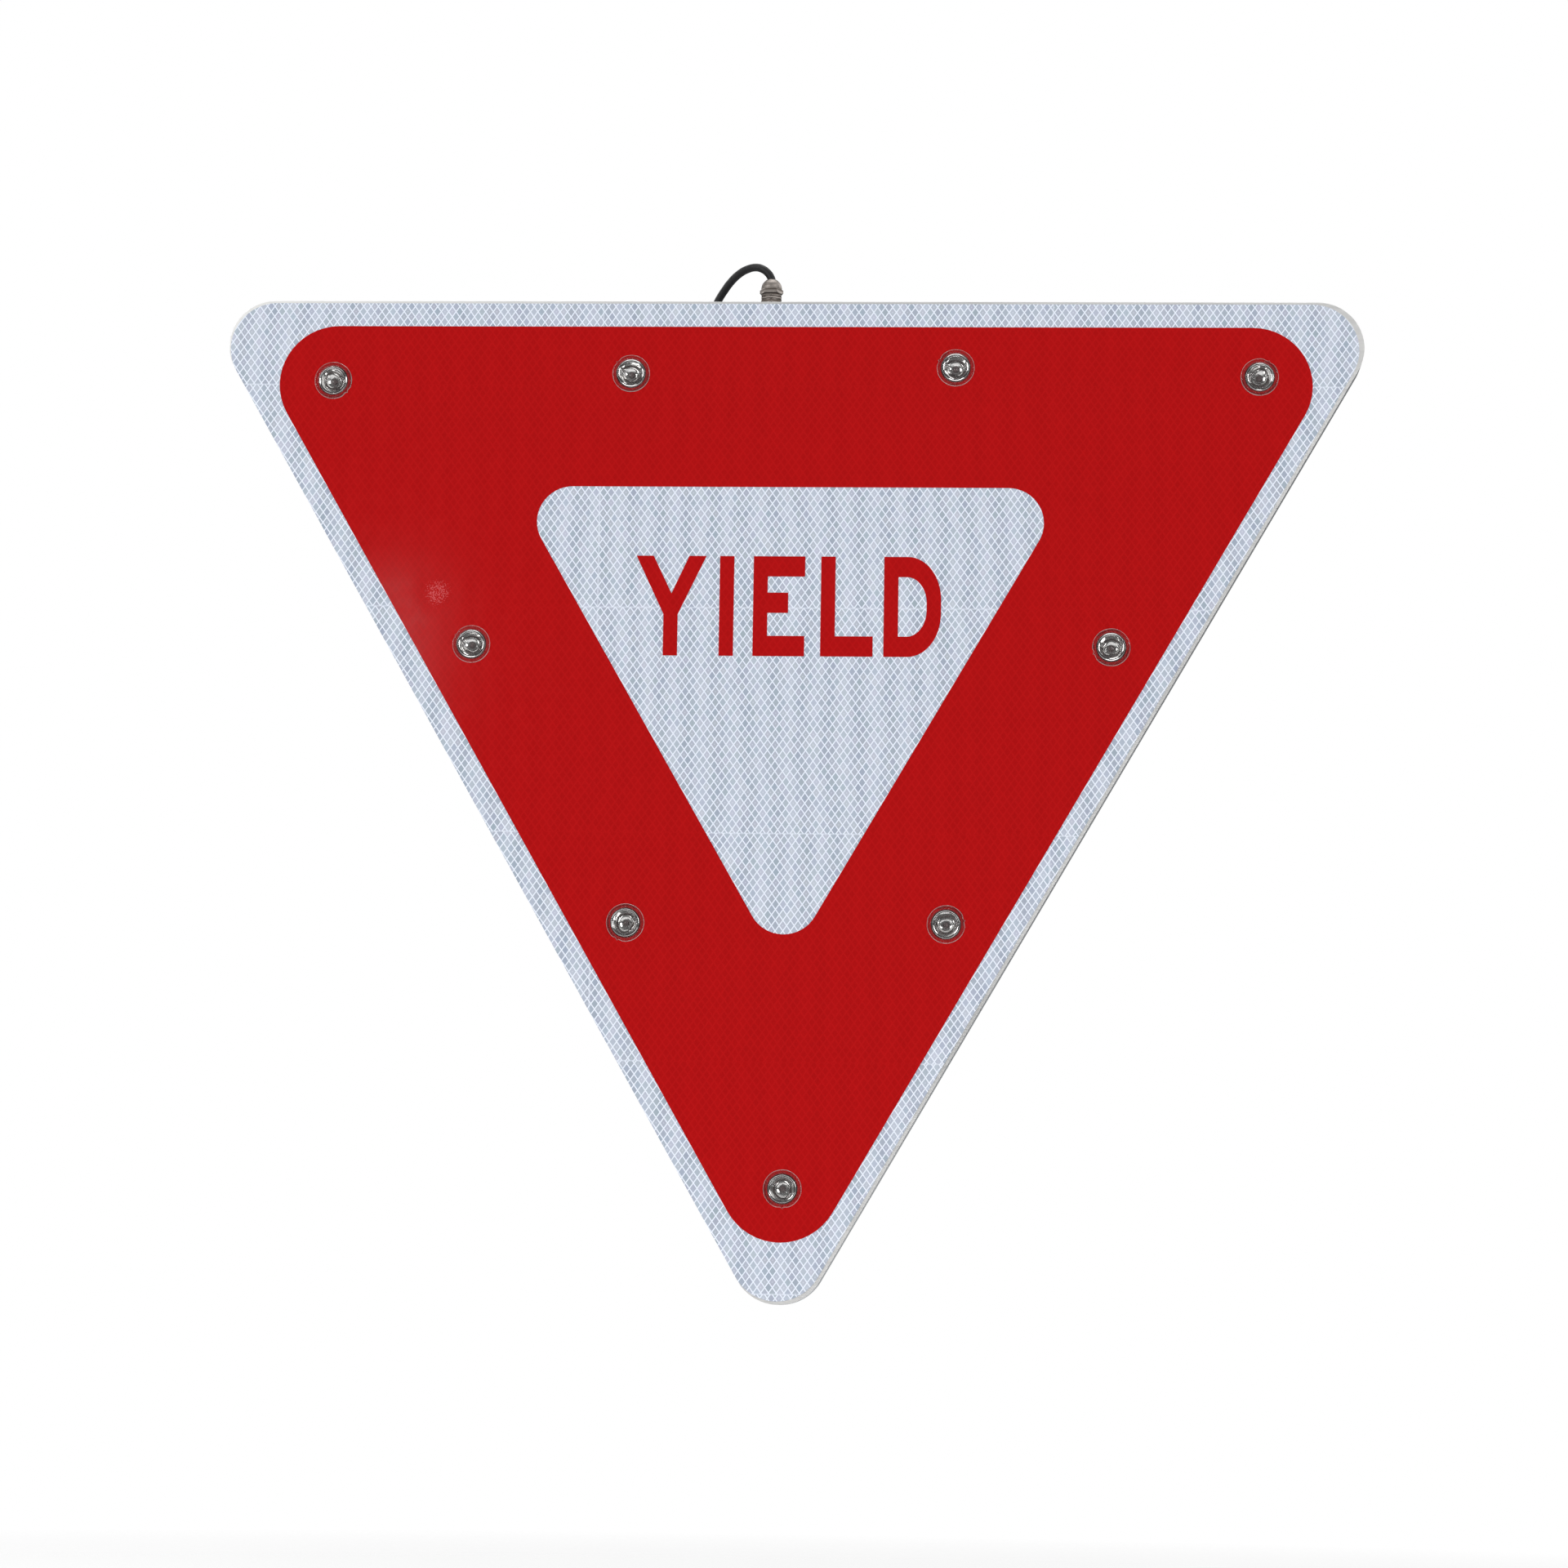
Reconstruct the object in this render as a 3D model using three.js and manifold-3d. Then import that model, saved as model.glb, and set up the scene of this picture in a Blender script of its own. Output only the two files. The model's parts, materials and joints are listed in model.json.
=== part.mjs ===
// A point-down triangular give-way sign head with nine flashing lamps round its red border.
// A flat aluminium face carries the reflective films and the lamps, three bent channels make the
// side walls, a flat cover closes the back, and two slotted rails on the cover take the clamps of a
// post. The supply lead leaves through a gland in the top edge and is stored coiled on the upper rail.
//
// Millimetres. +X to the reader's right, +Y away from the reader, +Z up. Until the last lines, x and z
// are measured from the centre of the triangle and y from the front of the bare face panel.

import * as THREE from 'three';
import { mergeVertices } from 'three/addons/utils/BufferGeometryUtils.js';
import Module from 'manifold-3d';

const wasm = await Module();
wasm.setup();

// ---- Driving dimensions -------------------------------------------------------------------------

const FACE_SIDE = 914.4;                            // 36 inch sign, measured to its sharp corners
const INRADIUS = FACE_SIDE / (2 * Math.sqrt(3));    // from the centre to the middle of a side
const FACE_CORNER_R = 35;

const PANEL_THICK = 2.5;
const WHITE_FILM_THICK = 0.5;
const RED_FILM_THICK = 0.25;
const FILM_TRIM_RIGHT = 2.5;                        // bare strip left along the right-hand edge
const FILM_TRIM_TOP = 1.8;                          // and along the top

const BORDER_X = 0.45;                              // the border, lamps and legend sit a little off
const BORDER_Z = -1.3;                              // the panel's centre
const RED_MARGIN = 18.45;                           // white margin outside the red border
const RED_CORNER_R = 45;
const INNER_INRADIUS = 122.1;                       // of the white triangle inside the border
const INNER_CORNER_R = 27;
const INNER_X = -0.7;                               // from the middle of the red border
const INNER_Z = -0.4;

const CAP_HEIGHT = 76.2;                            // 3 inch capitals
const LEGEND_BASE_Z = -7.7;
const STEM = 10.8;                                  // upright stroke of the letters
const BAR = 15.4;                                   // level stroke of the letters

const FRAME_BACK_Y = 28;
const FRAME_WALL = 2;
const FRAME_FLANGE = 14;                            // flange width, from the outer face
const GASKET_THICK = 1;
const GASKET_WIDTH = 10;
const COVER_THICK = 1.5;
const COVER_INSET = 1;

const RAIL_HEIGHT = 40;
const RAIL_DEPTH = 20;
const RAIL_WALL = 3;
const RAIL_SLOT = 13;                               // takes the square heads of M12 clamp bolts
const RAIL_SPACING = 300;
const UPPER_RAIL_Z = 140;
const UPPER_RAIL_LENGTH = 560;
const LOWER_RAIL_LENGTH = 280;
const RIVET_FROM_END = 60;

const LAMP_FLANGE_R = 14.3;
const LAMP_BARREL_R = 11.2;
const LAMP_WALL = 1.3;
const LAMP_STEPS = 16;                              // facets round a lens

const GLAND_X = -17.6;
const GLAND_Y = 15;
const THREAD_R = 6.2;                               // 12.4 mm conduit thread
const GLAND_BORE_R = 3.4;

const CORD_R = 3;
const COIL_MID_R = 36;
const CORD_DROP_X = -72;                            // where the lead runs down into its coil

const GAP = 0.3;                                    // clearance between neighbouring pieces

// ---- Sizes that follow from them ----------------------------------------------------------------

const COVER_FRONT_Y = FRAME_BACK_Y + GASKET_THICK;
const COVER_BACK_Y = COVER_FRONT_Y + COVER_THICK;
const RAIL_BACK_Y = COVER_BACK_Y + RAIL_DEPTH;
const LOWER_RAIL_Z = UPPER_RAIL_Z - RAIL_SPACING;
const RAIL_LIP_OFFSET_Z = (RAIL_SLOT + RAIL_HEIGHT) / 4;     // middle of the lip above the slot
const RED_FRONT_Y = -WHITE_FILM_THICK - RED_FILM_THICK;

const COIL_OUTER_R = COIL_MID_R + 2 * CORD_R;
const COIL_INNER_R = COIL_MID_R - 2 * CORD_R;
const COIL_X = CORD_DROP_X + COIL_MID_R + CORD_R;
const COIL_Z = UPPER_RAIL_Z + RAIL_HEIGHT / 2 + GAP + COIL_OUTER_R;
const TIE_BASE_THICK = 4.4;
const COIL_FRONT_Y = COVER_BACK_Y + TIE_BASE_THICK + GAP;
const COIL_BACK_Y = COIL_FRONT_Y + 4 * CORD_R;
const FRONT_LAYER_Y = COIL_FRONT_Y + CORD_R;
const BACK_LAYER_Y = COIL_BACK_Y - CORD_R;

// Lamp centres, x then z, from the middle of the red border. They are drilled by hand, so they are
// not quite regular.
const LAMPS = [
  [-351, 203], [-123, 209], [123.5, 214], [352.5, 207.5],
  [-240, 0], [242, 0.5],
  [-119, -210], [120.5, -209],
  [1.5, -406.5],
].map(([x, z]) => [x + BORDER_X, z + BORDER_Z]);

const ROUND_STEPS = 20;

// ---- Materials ----------------------------------------------------------------------------------

function material(color, roughness, metalness, more = {}) {
  return new THREE.MeshStandardMaterial({ color, roughness, metalness, ...more });
}

const bareAluminium = () => material(0xc4c6c8, 0.45, 0.9);
const millAluminium = () => material(0xa9acaf, 0.5, 0.9);
const whiteSheeting = () => material(0xd3dae6, 0.35, 0);
const redFilm = () => material(0xb01214, 0.3, 0);
const clearPlastic = () => material(0xf2f4f6, 0.08, 0, { transparent: true, opacity: 0.35 });
const silveredCup = () => material(0xb9b9b9, 0.2, 1);
const blackNylon = () => material(0x18181a, 0.6, 0);
const blackRubber = () => material(0x121214, 0.8, 0);
const nickelPlate = () => material(0xa49c90, 0.3, 1);
const zincSteel = () => material(0xb0b2b4, 0.4, 1);
const boardGreen = () => material(0x1f5a35, 0.5, 0);

// ---- Solids -------------------------------------------------------------------------------------

function toSolid(geometry) {
  const bare = geometry.clone();
  bare.deleteAttribute('normal');
  bare.deleteAttribute('uv');
  const merged = mergeVertices(bare, 1e-4);
  return new wasm.Manifold(new wasm.Mesh({
    numProp: 3,
    vertProperties: Float32Array.from(merged.attributes.position.array),
    triVerts: Uint32Array.from(merged.index.array),
  }));
}

function toGeometry(solid) {
  const mesh = solid.getMesh();
  const geometry = new THREE.BufferGeometry();
  geometry.setAttribute('position', new THREE.BufferAttribute(mesh.vertProperties, 3));
  geometry.setIndex(new THREE.BufferAttribute(mesh.triVerts, 1));
  return geometry;
}

function join(...geometries) {
  return toGeometry(geometries.map(toSolid).reduce((whole, next) => whole.add(next)));
}

function cut(geometry, ...tools) {
  return toGeometry(tools.map(toSolid).reduce((rest, tool) => rest.subtract(tool), toSolid(geometry)));
}

function extruded(shape, depth, curveSegments) {
  return new THREE.ExtrudeGeometry(shape, { depth, curveSegments, bevelEnabled: false });
}

// A flat outline in x and z, given thickness from frontY backwards.
function plate(shape, frontY, thick, steps = 8) {
  return extruded(shape, thick, steps).rotateX(Math.PI / 2).translate(0, frontY + thick, 0);
}

// A flat outline in x and y, given height from bottomZ upwards.
function column(shape, bottomZ, height) {
  return extruded(shape, height, 8).translate(0, 0, bottomZ);
}

// An outline in y and z, drawn along x from startX.
function bar(shape, startX, length) {
  return extruded(shape, length, 4).rotateX(Math.PI / 2).rotateZ(Math.PI / 2).translate(startX, 0, 0);
}

function block(x0, x1, y0, y1, z0, z1) {
  const geometry = new THREE.BoxGeometry(x1 - x0, y1 - y0, z1 - z0);
  return geometry.translate((x0 + x1) / 2, (y0 + y1) / 2, (z0 + z1) / 2);
}

// A profile of [radius, along] points turned about the y axis. A ring's profile closes on itself, and
// one that runs clockwise is turned over, so that the faces always look outwards.
function turned(profile, steps = ROUND_STEPS) {
  const points = profile.map(([radius, along]) => new THREE.Vector2(radius, along));
  if (points[0].x > 0) points.push(points[0]);
  const geometry = new THREE.LatheGeometry(points, steps);
  if (THREE.ShapeUtils.isClockWise(points)) geometry.index.array.reverse();
  return geometry;
}

const turnedUpright = (profile, steps) => turned(profile, steps).rotateX(Math.PI / 2);

function outline(points) {
  return new THREE.Shape(points.map(([a, b]) => new THREE.Vector2(a, b)));
}

// A regular outline with its first corner at cornerAngle, such as a hexagon or a faceted circle.
function regular(x, y, radius, sides, cornerAngle = 0) {
  const corners = [];
  for (let i = 0; i < sides; i += 1) {
    const angle = cornerAngle + 2 * Math.PI * i / sides;
    corners.push([x + radius * Math.cos(angle), y + radius * Math.sin(angle)]);
  }
  return outline(corners);
}

const circle = (x, y, radius, steps = ROUND_STEPS) => regular(x, y, radius, steps);
const hexagon = (acrossFlats, cornerAngle) => regular(0, 0, acrossFlats / Math.sqrt(3), 6, cornerAngle);

function withHoles(shape, holes) {
  shape.holes.push(...holes);
  return shape;
}

// A point-down triangle with rounded corners, by the distance from its centre to a side.
function roundedTriangle(inradius, cornerR, centreX = 0, centreZ = 0) {
  const shape = new THREE.Shape();
  for (const degrees of [30, 150, 270]) {
    const angle = THREE.MathUtils.degToRad(degrees);
    const reach = 2 * (inradius - cornerR);
    const x = centreX + reach * Math.cos(angle);
    const z = centreZ + reach * Math.sin(angle);
    shape.absarc(x, z, cornerR, angle - Math.PI / 3, angle + Math.PI / 3, false);
  }
  shape.closePath();
  return shape;
}

// A round tube that follows a smooth curve through its points.
function tube(points, radius, sides, steps) {
  const path = new THREE.CatmullRomCurve3(points.map((p) => new THREE.Vector3(...p)), false, 'centripetal');
  const section = circle(0, 0, radius, sides);
  return new THREE.ExtrudeGeometry(section, { steps, extrudePath: path, bevelEnabled: false });
}

const sign = new THREE.Group();
const pieces = new THREE.Group();
sign.add(pieces);

function add(name, geometry, look, x = 0, y = 0, z = 0) {
  const mesh = new THREE.Mesh(geometry, look);
  mesh.name = name;
  mesh.position.set(x, y, z);
  pieces.add(mesh);
  return mesh;
}

// ---- Face: panel, films and legend --------------------------------------------------------------

const lampHoles = (radius) => LAMPS.map(([x, z]) => circle(x, z, radius, LAMP_STEPS));

function addFace() {
  const panel = withHoles(roundedTriangle(INRADIUS, FACE_CORNER_R), lampHoles(LAMP_BARREL_R + GAP));
  add('front_panel', plate(panel, 0, PANEL_THICK), bareAluminium());

  // Moving two of its sides inwards makes the triangle smaller and shifts its centre away from them.
  const fromRight = -2 / 3 * FILM_TRIM_RIGHT;
  const fromTop = -2 / 3 * FILM_TRIM_TOP;
  const sheeting = roundedTriangle(
    INRADIUS - (FILM_TRIM_RIGHT + FILM_TRIM_TOP) / 3,
    FACE_CORNER_R,
    fromRight * Math.cos(-Math.PI / 6),
    fromRight * Math.sin(-Math.PI / 6) + fromTop,
  );
  const filmHoles = lampHoles(LAMP_BARREL_R + 2 * GAP);
  const white = plate(withHoles(sheeting, filmHoles), -WHITE_FILM_THICK, WHITE_FILM_THICK);
  add('white_sheeting', white, whiteSheeting());

  const border = roundedTriangle(INRADIUS - RED_MARGIN, RED_CORNER_R, BORDER_X, BORDER_Z);
  const innerPlace = [BORDER_X + INNER_X, BORDER_Z + INNER_Z];
  const centreTriangle = roundedTriangle(INNER_INRADIUS, INNER_CORNER_R, ...innerPlace);
  const red = withHoles(border, [centreTriangle, ...filmHoles]);
  add('red_border_film', plate(red, RED_FRONT_Y, RED_FILM_THICK), redFilm());
}

// Each letter stands on z = 0 with its left edge on x = 0.
function letterY() {
  const width = 53;
  const armTop = 13;
  const stemTop = 31.6;
  const stemLeft = (width - STEM) / 2;
  return outline([
    [0, CAP_HEIGHT], [stemLeft, stemTop], [stemLeft, 0], [stemLeft + STEM, 0],
    [stemLeft + STEM, stemTop], [width, CAP_HEIGHT], [width - armTop, CAP_HEIGHT],
    [width / 2 + 0.4, 47.5], [armTop, CAP_HEIGHT],
  ]);
}

function letterI() {
  return outline([[0, 0], [STEM, 0], [STEM, CAP_HEIGHT], [0, CAP_HEIGHT]]);
}

function letterE() {
  const width = 38.9;
  const middleWidth = 26.4;
  const middle = 33;
  return outline([
    [0, 0], [width, 0], [width, BAR], [STEM, BAR], [STEM, middle], [middleWidth, middle],
    [middleWidth, middle + BAR], [STEM, middle + BAR], [STEM, CAP_HEIGHT - BAR],
    [width, CAP_HEIGHT - BAR], [width, CAP_HEIGHT], [0, CAP_HEIGHT],
  ]);
}

function letterL() {
  const width = 39.4;
  return outline([[0, 0], [width, 0], [width, BAR], [STEM, BAR], [STEM, CAP_HEIGHT], [0, CAP_HEIGHT]]);
}

// A bowl: a rectangle whose two right-hand corners are a quarter of an ellipse, roundX by roundZ.
function bowl(left, right, bottom, top, roundX, roundZ) {
  const shape = new THREE.Shape();
  const centreX = right - roundX;
  shape.moveTo(left, bottom);
  shape.lineTo(centreX, bottom);
  shape.absellipse(centreX, bottom + roundZ, roundX, roundZ, -Math.PI / 2, 0, false, 0);
  shape.absellipse(centreX, top - roundZ, roundX, roundZ, 0, Math.PI / 2, false, 0);
  shape.lineTo(left, top);
  shape.closePath();
  return shape;
}

function letterD() {
  const width = 43;
  const outer = bowl(0, width, 0, CAP_HEIGHT, 25, 33);
  return withHoles(outer, [bowl(STEM, width - STEM, BAR, CAP_HEIGHT - BAR, 15, 20)]);
}

function addLegend() {
  const letters = [
    ['letter_y', letterY(), -116],
    ['letter_i', letterI(), -52.7],
    ['letter_e', letterE(), -27.2],
    ['letter_l', letterL(), 23.8],
    ['letter_d', letterD(), 71.3],
  ];
  for (const [name, shape, left] of letters) {
    const letter = plate(shape, RED_FRONT_Y, RED_FILM_THICK);
    add(name, letter, redFilm(), BORDER_X + left, 0, BORDER_Z + LEGEND_BASE_Z);
  }
}

// ---- Lamps --------------------------------------------------------------------------------------

// Clear cap: a round flange on the film, a stepped dome in front and a barrel through the panel.
function lensGeometry() {
  const bore = LAMP_BARREL_R - LAMP_WALL;
  return turned([
    [0, -7.2], [5, -6.5], [8.4, -4], [LAMP_BARREL_R, -3.6], [LAMP_BARREL_R, -2.25],
    [LAMP_FLANGE_R, -2], [LAMP_FLANGE_R, RED_FRONT_Y], [LAMP_BARREL_R, RED_FRONT_Y],
    [LAMP_BARREL_R, 10], [bore, 10], [bore, -1.5], [5, -4.6], [0, -5.6],
  ], LAMP_STEPS);
}

// Silvered cup with the light-emitting chip at its bottom, moulded round its small circuit board.
function moduleGeometry() {
  const radius = LAMP_BARREL_R - LAMP_WALL - GAP;
  return turned([
    [0, 2.6], [2.2, 4.2], [2.4, 6], [4, 6], [8.8, -0.8], [radius, -0.8], [radius, 11], [0, 11],
  ], LAMP_STEPS / 2);
}

function nutGeometry() {
  const hex = hexagon(28, 0);
  return plate(withHoles(hex, [circle(0, 0, LAMP_BARREL_R + GAP, LAMP_STEPS)]), PANEL_THICK, 4.5);
}

function addLamps() {
  LAMPS.forEach(([x, z], i) => {
    add(`lamp_lens_${i + 1}`, lensGeometry(), clearPlastic(), x, 0, z);
    add(`lamp_module_${i + 1}`, moduleGeometry(), silveredCup(), x, 0, z);
    add(`lamp_nut_${i + 1}`, nutGeometry(), blackNylon(), x, 0, z);
  });
}

// ---- Enclosure: side channels, gasket and back cover --------------------------------------------

// One strip along the top side and round the right-hand corner, as wide as width.
function sideStrip(width, frontY, thick) {
  const reach = Math.sqrt(3) * (INRADIUS - FACE_CORNER_R);
  const centreZ = INRADIUS - FACE_CORNER_R;
  const shape = new THREE.Shape();
  shape.moveTo(-reach + GAP, INRADIUS - width);
  shape.lineTo(reach, INRADIUS - width);
  shape.absarc(reach, centreZ, FACE_CORNER_R - width, Math.PI / 2, -Math.PI / 6, true);
  shape.absarc(reach, centreZ, FACE_CORNER_R, -Math.PI / 6, Math.PI / 2, false);
  shape.lineTo(-reach + GAP, INRADIUS);
  shape.closePath();
  return plate(shape, frontY, thick);
}

function channelGeometry() {
  return join(
    sideStrip(FRAME_WALL, PANEL_THICK, FRAME_BACK_Y - PANEL_THICK),
    sideStrip(FRAME_FLANGE, PANEL_THICK, FRAME_WALL),
    sideStrip(FRAME_FLANGE, FRAME_BACK_Y - FRAME_WALL, FRAME_WALL),
  );
}

function addFrame() {
  const glandHole = column(circle(GLAND_X, GLAND_Y, THREAD_R + GAP), INRADIUS - 10, 20);
  add('frame_top', cut(channelGeometry(), glandHole), millAluminium());
  add('frame_right', channelGeometry(), millAluminium()).rotation.y = 2 * Math.PI / 3;
  add('frame_left', channelGeometry(), millAluminium()).rotation.y = -2 * Math.PI / 3;
}

function rivetPlaces() {
  const upper = UPPER_RAIL_LENGTH / 2 - RIVET_FROM_END;
  const lower = LOWER_RAIL_LENGTH / 2 - RIVET_FROM_END;
  return [
    ['rail_rivet_upper_left', -upper, UPPER_RAIL_Z],
    ['rail_rivet_upper_right', upper, UPPER_RAIL_Z],
    ['rail_rivet_lower_left', -lower, LOWER_RAIL_Z],
    ['rail_rivet_lower_right', lower, LOWER_RAIL_Z],
  ];
}

const RIVET_SHANK_R = 3.2;

function addCover() {
  const ring = roundedTriangle(INRADIUS - 2 * COVER_INSET, FACE_CORNER_R - 2 * COVER_INSET);
  const inside = 2 * COVER_INSET + GASKET_WIDTH;
  const hollow = roundedTriangle(INRADIUS - inside, FACE_CORNER_R - inside);
  add('cover_gasket', plate(withHoles(ring, [hollow]), FRAME_BACK_Y, GASKET_THICK), blackRubber());

  const cover = roundedTriangle(INRADIUS - COVER_INSET, FACE_CORNER_R - COVER_INSET);
  const holes = rivetPlaces().map(([, x, z]) => circle(x, z, RIVET_SHANK_R + GAP, 12));
  add('back_cover', plate(withHoles(cover, holes), COVER_FRONT_Y, COVER_THICK), bareAluminium());
}

// ---- Mounting rails -----------------------------------------------------------------------------

// A channel open to the back through a long slot between two lips.
function railGeometry(length, railZ) {
  const half = RAIL_HEIGHT / 2;
  const inner = half - RAIL_WALL;
  const slot = RAIL_SLOT / 2;
  const web = COVER_BACK_Y + RAIL_WALL;
  const lip = RAIL_BACK_Y - RAIL_WALL;
  const section = outline([
    [COVER_BACK_Y, -half], [RAIL_BACK_Y, -half], [RAIL_BACK_Y, -slot], [lip, -slot], [lip, -inner],
    [web, -inner], [web, inner], [lip, inner], [lip, slot], [RAIL_BACK_Y, slot], [RAIL_BACK_Y, half],
    [COVER_BACK_Y, half],
  ]);
  const rail = bar(section, -length / 2, length).translate(0, 0, railZ);
  const holes = rivetPlaces()
    .filter(([, , z]) => z === railZ)
    .map(([, x, z]) => circle(x, z, RIVET_SHANK_R + GAP, 12))
    .map((hole) => plate(hole, COVER_BACK_Y - RAIL_WALL, 3 * RAIL_WALL));
  return cut(rail, ...holes);
}

function rivetGeometry() {
  const headY = COVER_BACK_Y + RAIL_WALL;
  return turned([
    [0, COVER_FRONT_Y - 3], [4.4, COVER_FRONT_Y - 2.4], [5, COVER_FRONT_Y],
    [RIVET_SHANK_R, COVER_FRONT_Y], [RIVET_SHANK_R, headY], [6.5, headY], [5.5, headY + 1.8],
    [0, headY + 2.5],
  ], 12);
}

function addRails() {
  add('rail_upper', railGeometry(UPPER_RAIL_LENGTH, UPPER_RAIL_Z), millAluminium());
  add('rail_lower', railGeometry(LOWER_RAIL_LENGTH, LOWER_RAIL_Z), millAluminium());
  for (const [name, x, z] of rivetPlaces()) {
    add(name, rivetGeometry(), zincSteel(), x, 0, z);
  }
}

// ---- Gland in the top edge ----------------------------------------------------------------------

const GLAND_BASE = INRADIUS;                // outer face of the top wall
const WASHER_TOP = GLAND_BASE + 1.2;
const BODY_TOP = WASHER_TOP + 7.6;
const NUT_BOTTOM = BODY_TOP + GAP;
const NUT_HEX_TOP = NUT_BOTTOM + 4;
const DOME_TOP = NUT_BOTTOM + 11.2;
const THREAD_TOP = DOME_TOP - 5.3;
const THREAD_BOTTOM = GLAND_BASE - 10;

function addGland() {
  const gland = (name, geometry, look) => add(name, geometry, look, GLAND_X, GLAND_Y, 0);
  const bored = (shape, radius) => withHoles(shape, [circle(0, 0, radius)]);

  gland('gland_washer', column(bored(circle(0, 0, 7.6), THREAD_R + GAP), GLAND_BASE, 1.2), blackRubber());

  const threadTube = bored(circle(0, 0, THREAD_R), GLAND_BORE_R);
  const thread = column(threadTube, THREAD_BOTTOM, THREAD_TOP - THREAD_BOTTOM);
  const bodyHex = bored(hexagon(15, Math.PI / 6), THREAD_R - 1);
  gland('gland_body', join(thread, column(bodyHex, WASHER_TOP, BODY_TOP - WASHER_TOP)), nickelPlate());

  const lockHex = hexagon(16, 0);
  const lockNut = column(bored(lockHex, THREAD_R + GAP), GLAND_BASE - FRAME_WALL - 3.5, 3.5 - GAP);
  gland('gland_lock_nut', lockNut, nickelPlate());

  const seal = turnedUpright([
    [GLAND_BORE_R, THREAD_TOP + GAP], [THREAD_R - 0.4, THREAD_TOP + GAP],
    [THREAD_R - 0.4, THREAD_TOP + 1.4], [4.4, THREAD_TOP + 2.6], [GLAND_BORE_R, THREAD_TOP + 2.6],
  ]);
  gland('gland_seal', seal, blackRubber());

  const nutBore = THREAD_R + GAP;
  const dome = turnedUpright([
    [nutBore, NUT_BOTTOM], [7.5, NUT_BOTTOM], [7.9, NUT_HEX_TOP + 1], [7.6, DOME_TOP - 4.8],
    [6.8, DOME_TOP - 3], [5.5, DOME_TOP - 1.2], [4.2, DOME_TOP], [GLAND_BORE_R, DOME_TOP],
    [GLAND_BORE_R, DOME_TOP - 1.6], [nutBore, DOME_TOP - 3.4],
  ]);
  const nutHex = column(bored(hexagon(15.6, 0), nutBore + 0.4), NUT_BOTTOM, NUT_HEX_TOP - NUT_BOTTOM);
  gland('gland_dome_nut', join(dome, nutHex), nickelPlate());
}

// ---- Supply lead --------------------------------------------------------------------------------

// Route of the lead from the mouth of the gland, over the top edge and down behind the cover.
const LEAD_ROUTE = [
  [GLAND_X, GLAND_Y, DOME_TOP + GAP],
  [-18.5, 15.1, 287],
  [-20.7, 15.5, 290.3],
  [-25, 16.5, 293.7],
  [-30.1, 18.5, 295.4],
  [-36.6, 21.5, 294.8],
  [-43.1, 25, 292.1],
  [-49.4, 28.5, 287.1],
  [-55.2, 31.8, 280.2],
  [-60.1, 34.6, 272.8],
  [-64.3, 37, 263.9],
  [-67.7, 39.2, 255.1],
  [-70.1, 41.3, 246.4],
  [-71.6, 43, 238],
  [CORD_DROP_X, 43.9, 230],
  [CORD_DROP_X, BACK_LAYER_Y, 224.5],
];

const COIL_BOTTOM_Z = COIL_Z - COIL_MID_R - CORD_R;
const CONNECTOR_R = 7;
const CONNECTOR_X = 16;
const CONNECTOR_Z = UPPER_RAIL_Z + RAIL_HEIGHT / 2 + GAP + CONNECTOR_R;

// The short run from the foot of the coil to the connector, along the top of the rail.
const TAIL_ROUTE = [
  [-10.8, FRONT_LAYER_Y, COIL_BOTTOM_Z],
  [-4, FRONT_LAYER_Y, COIL_BOTTOM_Z + 0.6],
  [2, FRONT_LAYER_Y, COIL_BOTTOM_Z + 1.9],
  [9, FRONT_LAYER_Y, CONNECTOR_Z - 0.5],
  [CONNECTOR_X - GAP, FRONT_LAYER_Y, CONNECTOR_Z],
];

function addLead() {
  add('lead_run', tube(LEAD_ROUTE, CORD_R, 10, 24), blackRubber());

  const coil = turned([
    [COIL_INNER_R, COIL_FRONT_Y], [COIL_OUTER_R, COIL_FRONT_Y], [COIL_OUTER_R, COIL_BACK_Y],
    [COIL_INNER_R, COIL_BACK_Y],
  ], 32);
  add('lead_coil', coil, blackRubber(), COIL_X, 0, COIL_Z);

  add('lead_tail', tube(TAIL_ROUTE, CORD_R, 10, 6), blackRubber());

  // Two-pole inline connector: boot, coupling ring and body, closed by its transport cap.
  const connector = turned([
    [0, 0], [4, 0], [5, 9], [5.6, 10], [CONNECTOR_R, 10], [CONNECTOR_R, 24], [6.2, 24.6], [6.2, 38],
    [6.8, 38.6], [6.8, 49], [0, 49],
  ], 20).rotateZ(-Math.PI / 2);
  add('lead_connector', connector, blackNylon(), CONNECTOR_X, FRONT_LAYER_Y, CONNECTOR_Z);
}

// ---- Cable tie that holds the coil to the cover -------------------------------------------------

const TIE_WIDTH = 4.8;
const TIE_THICK = 1.2;
const TUNNEL_FRONT_Y = COVER_BACK_Y + 1.4;
const BAND_FRONT_Y = TUNNEL_FRONT_Y + GAP;

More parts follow.
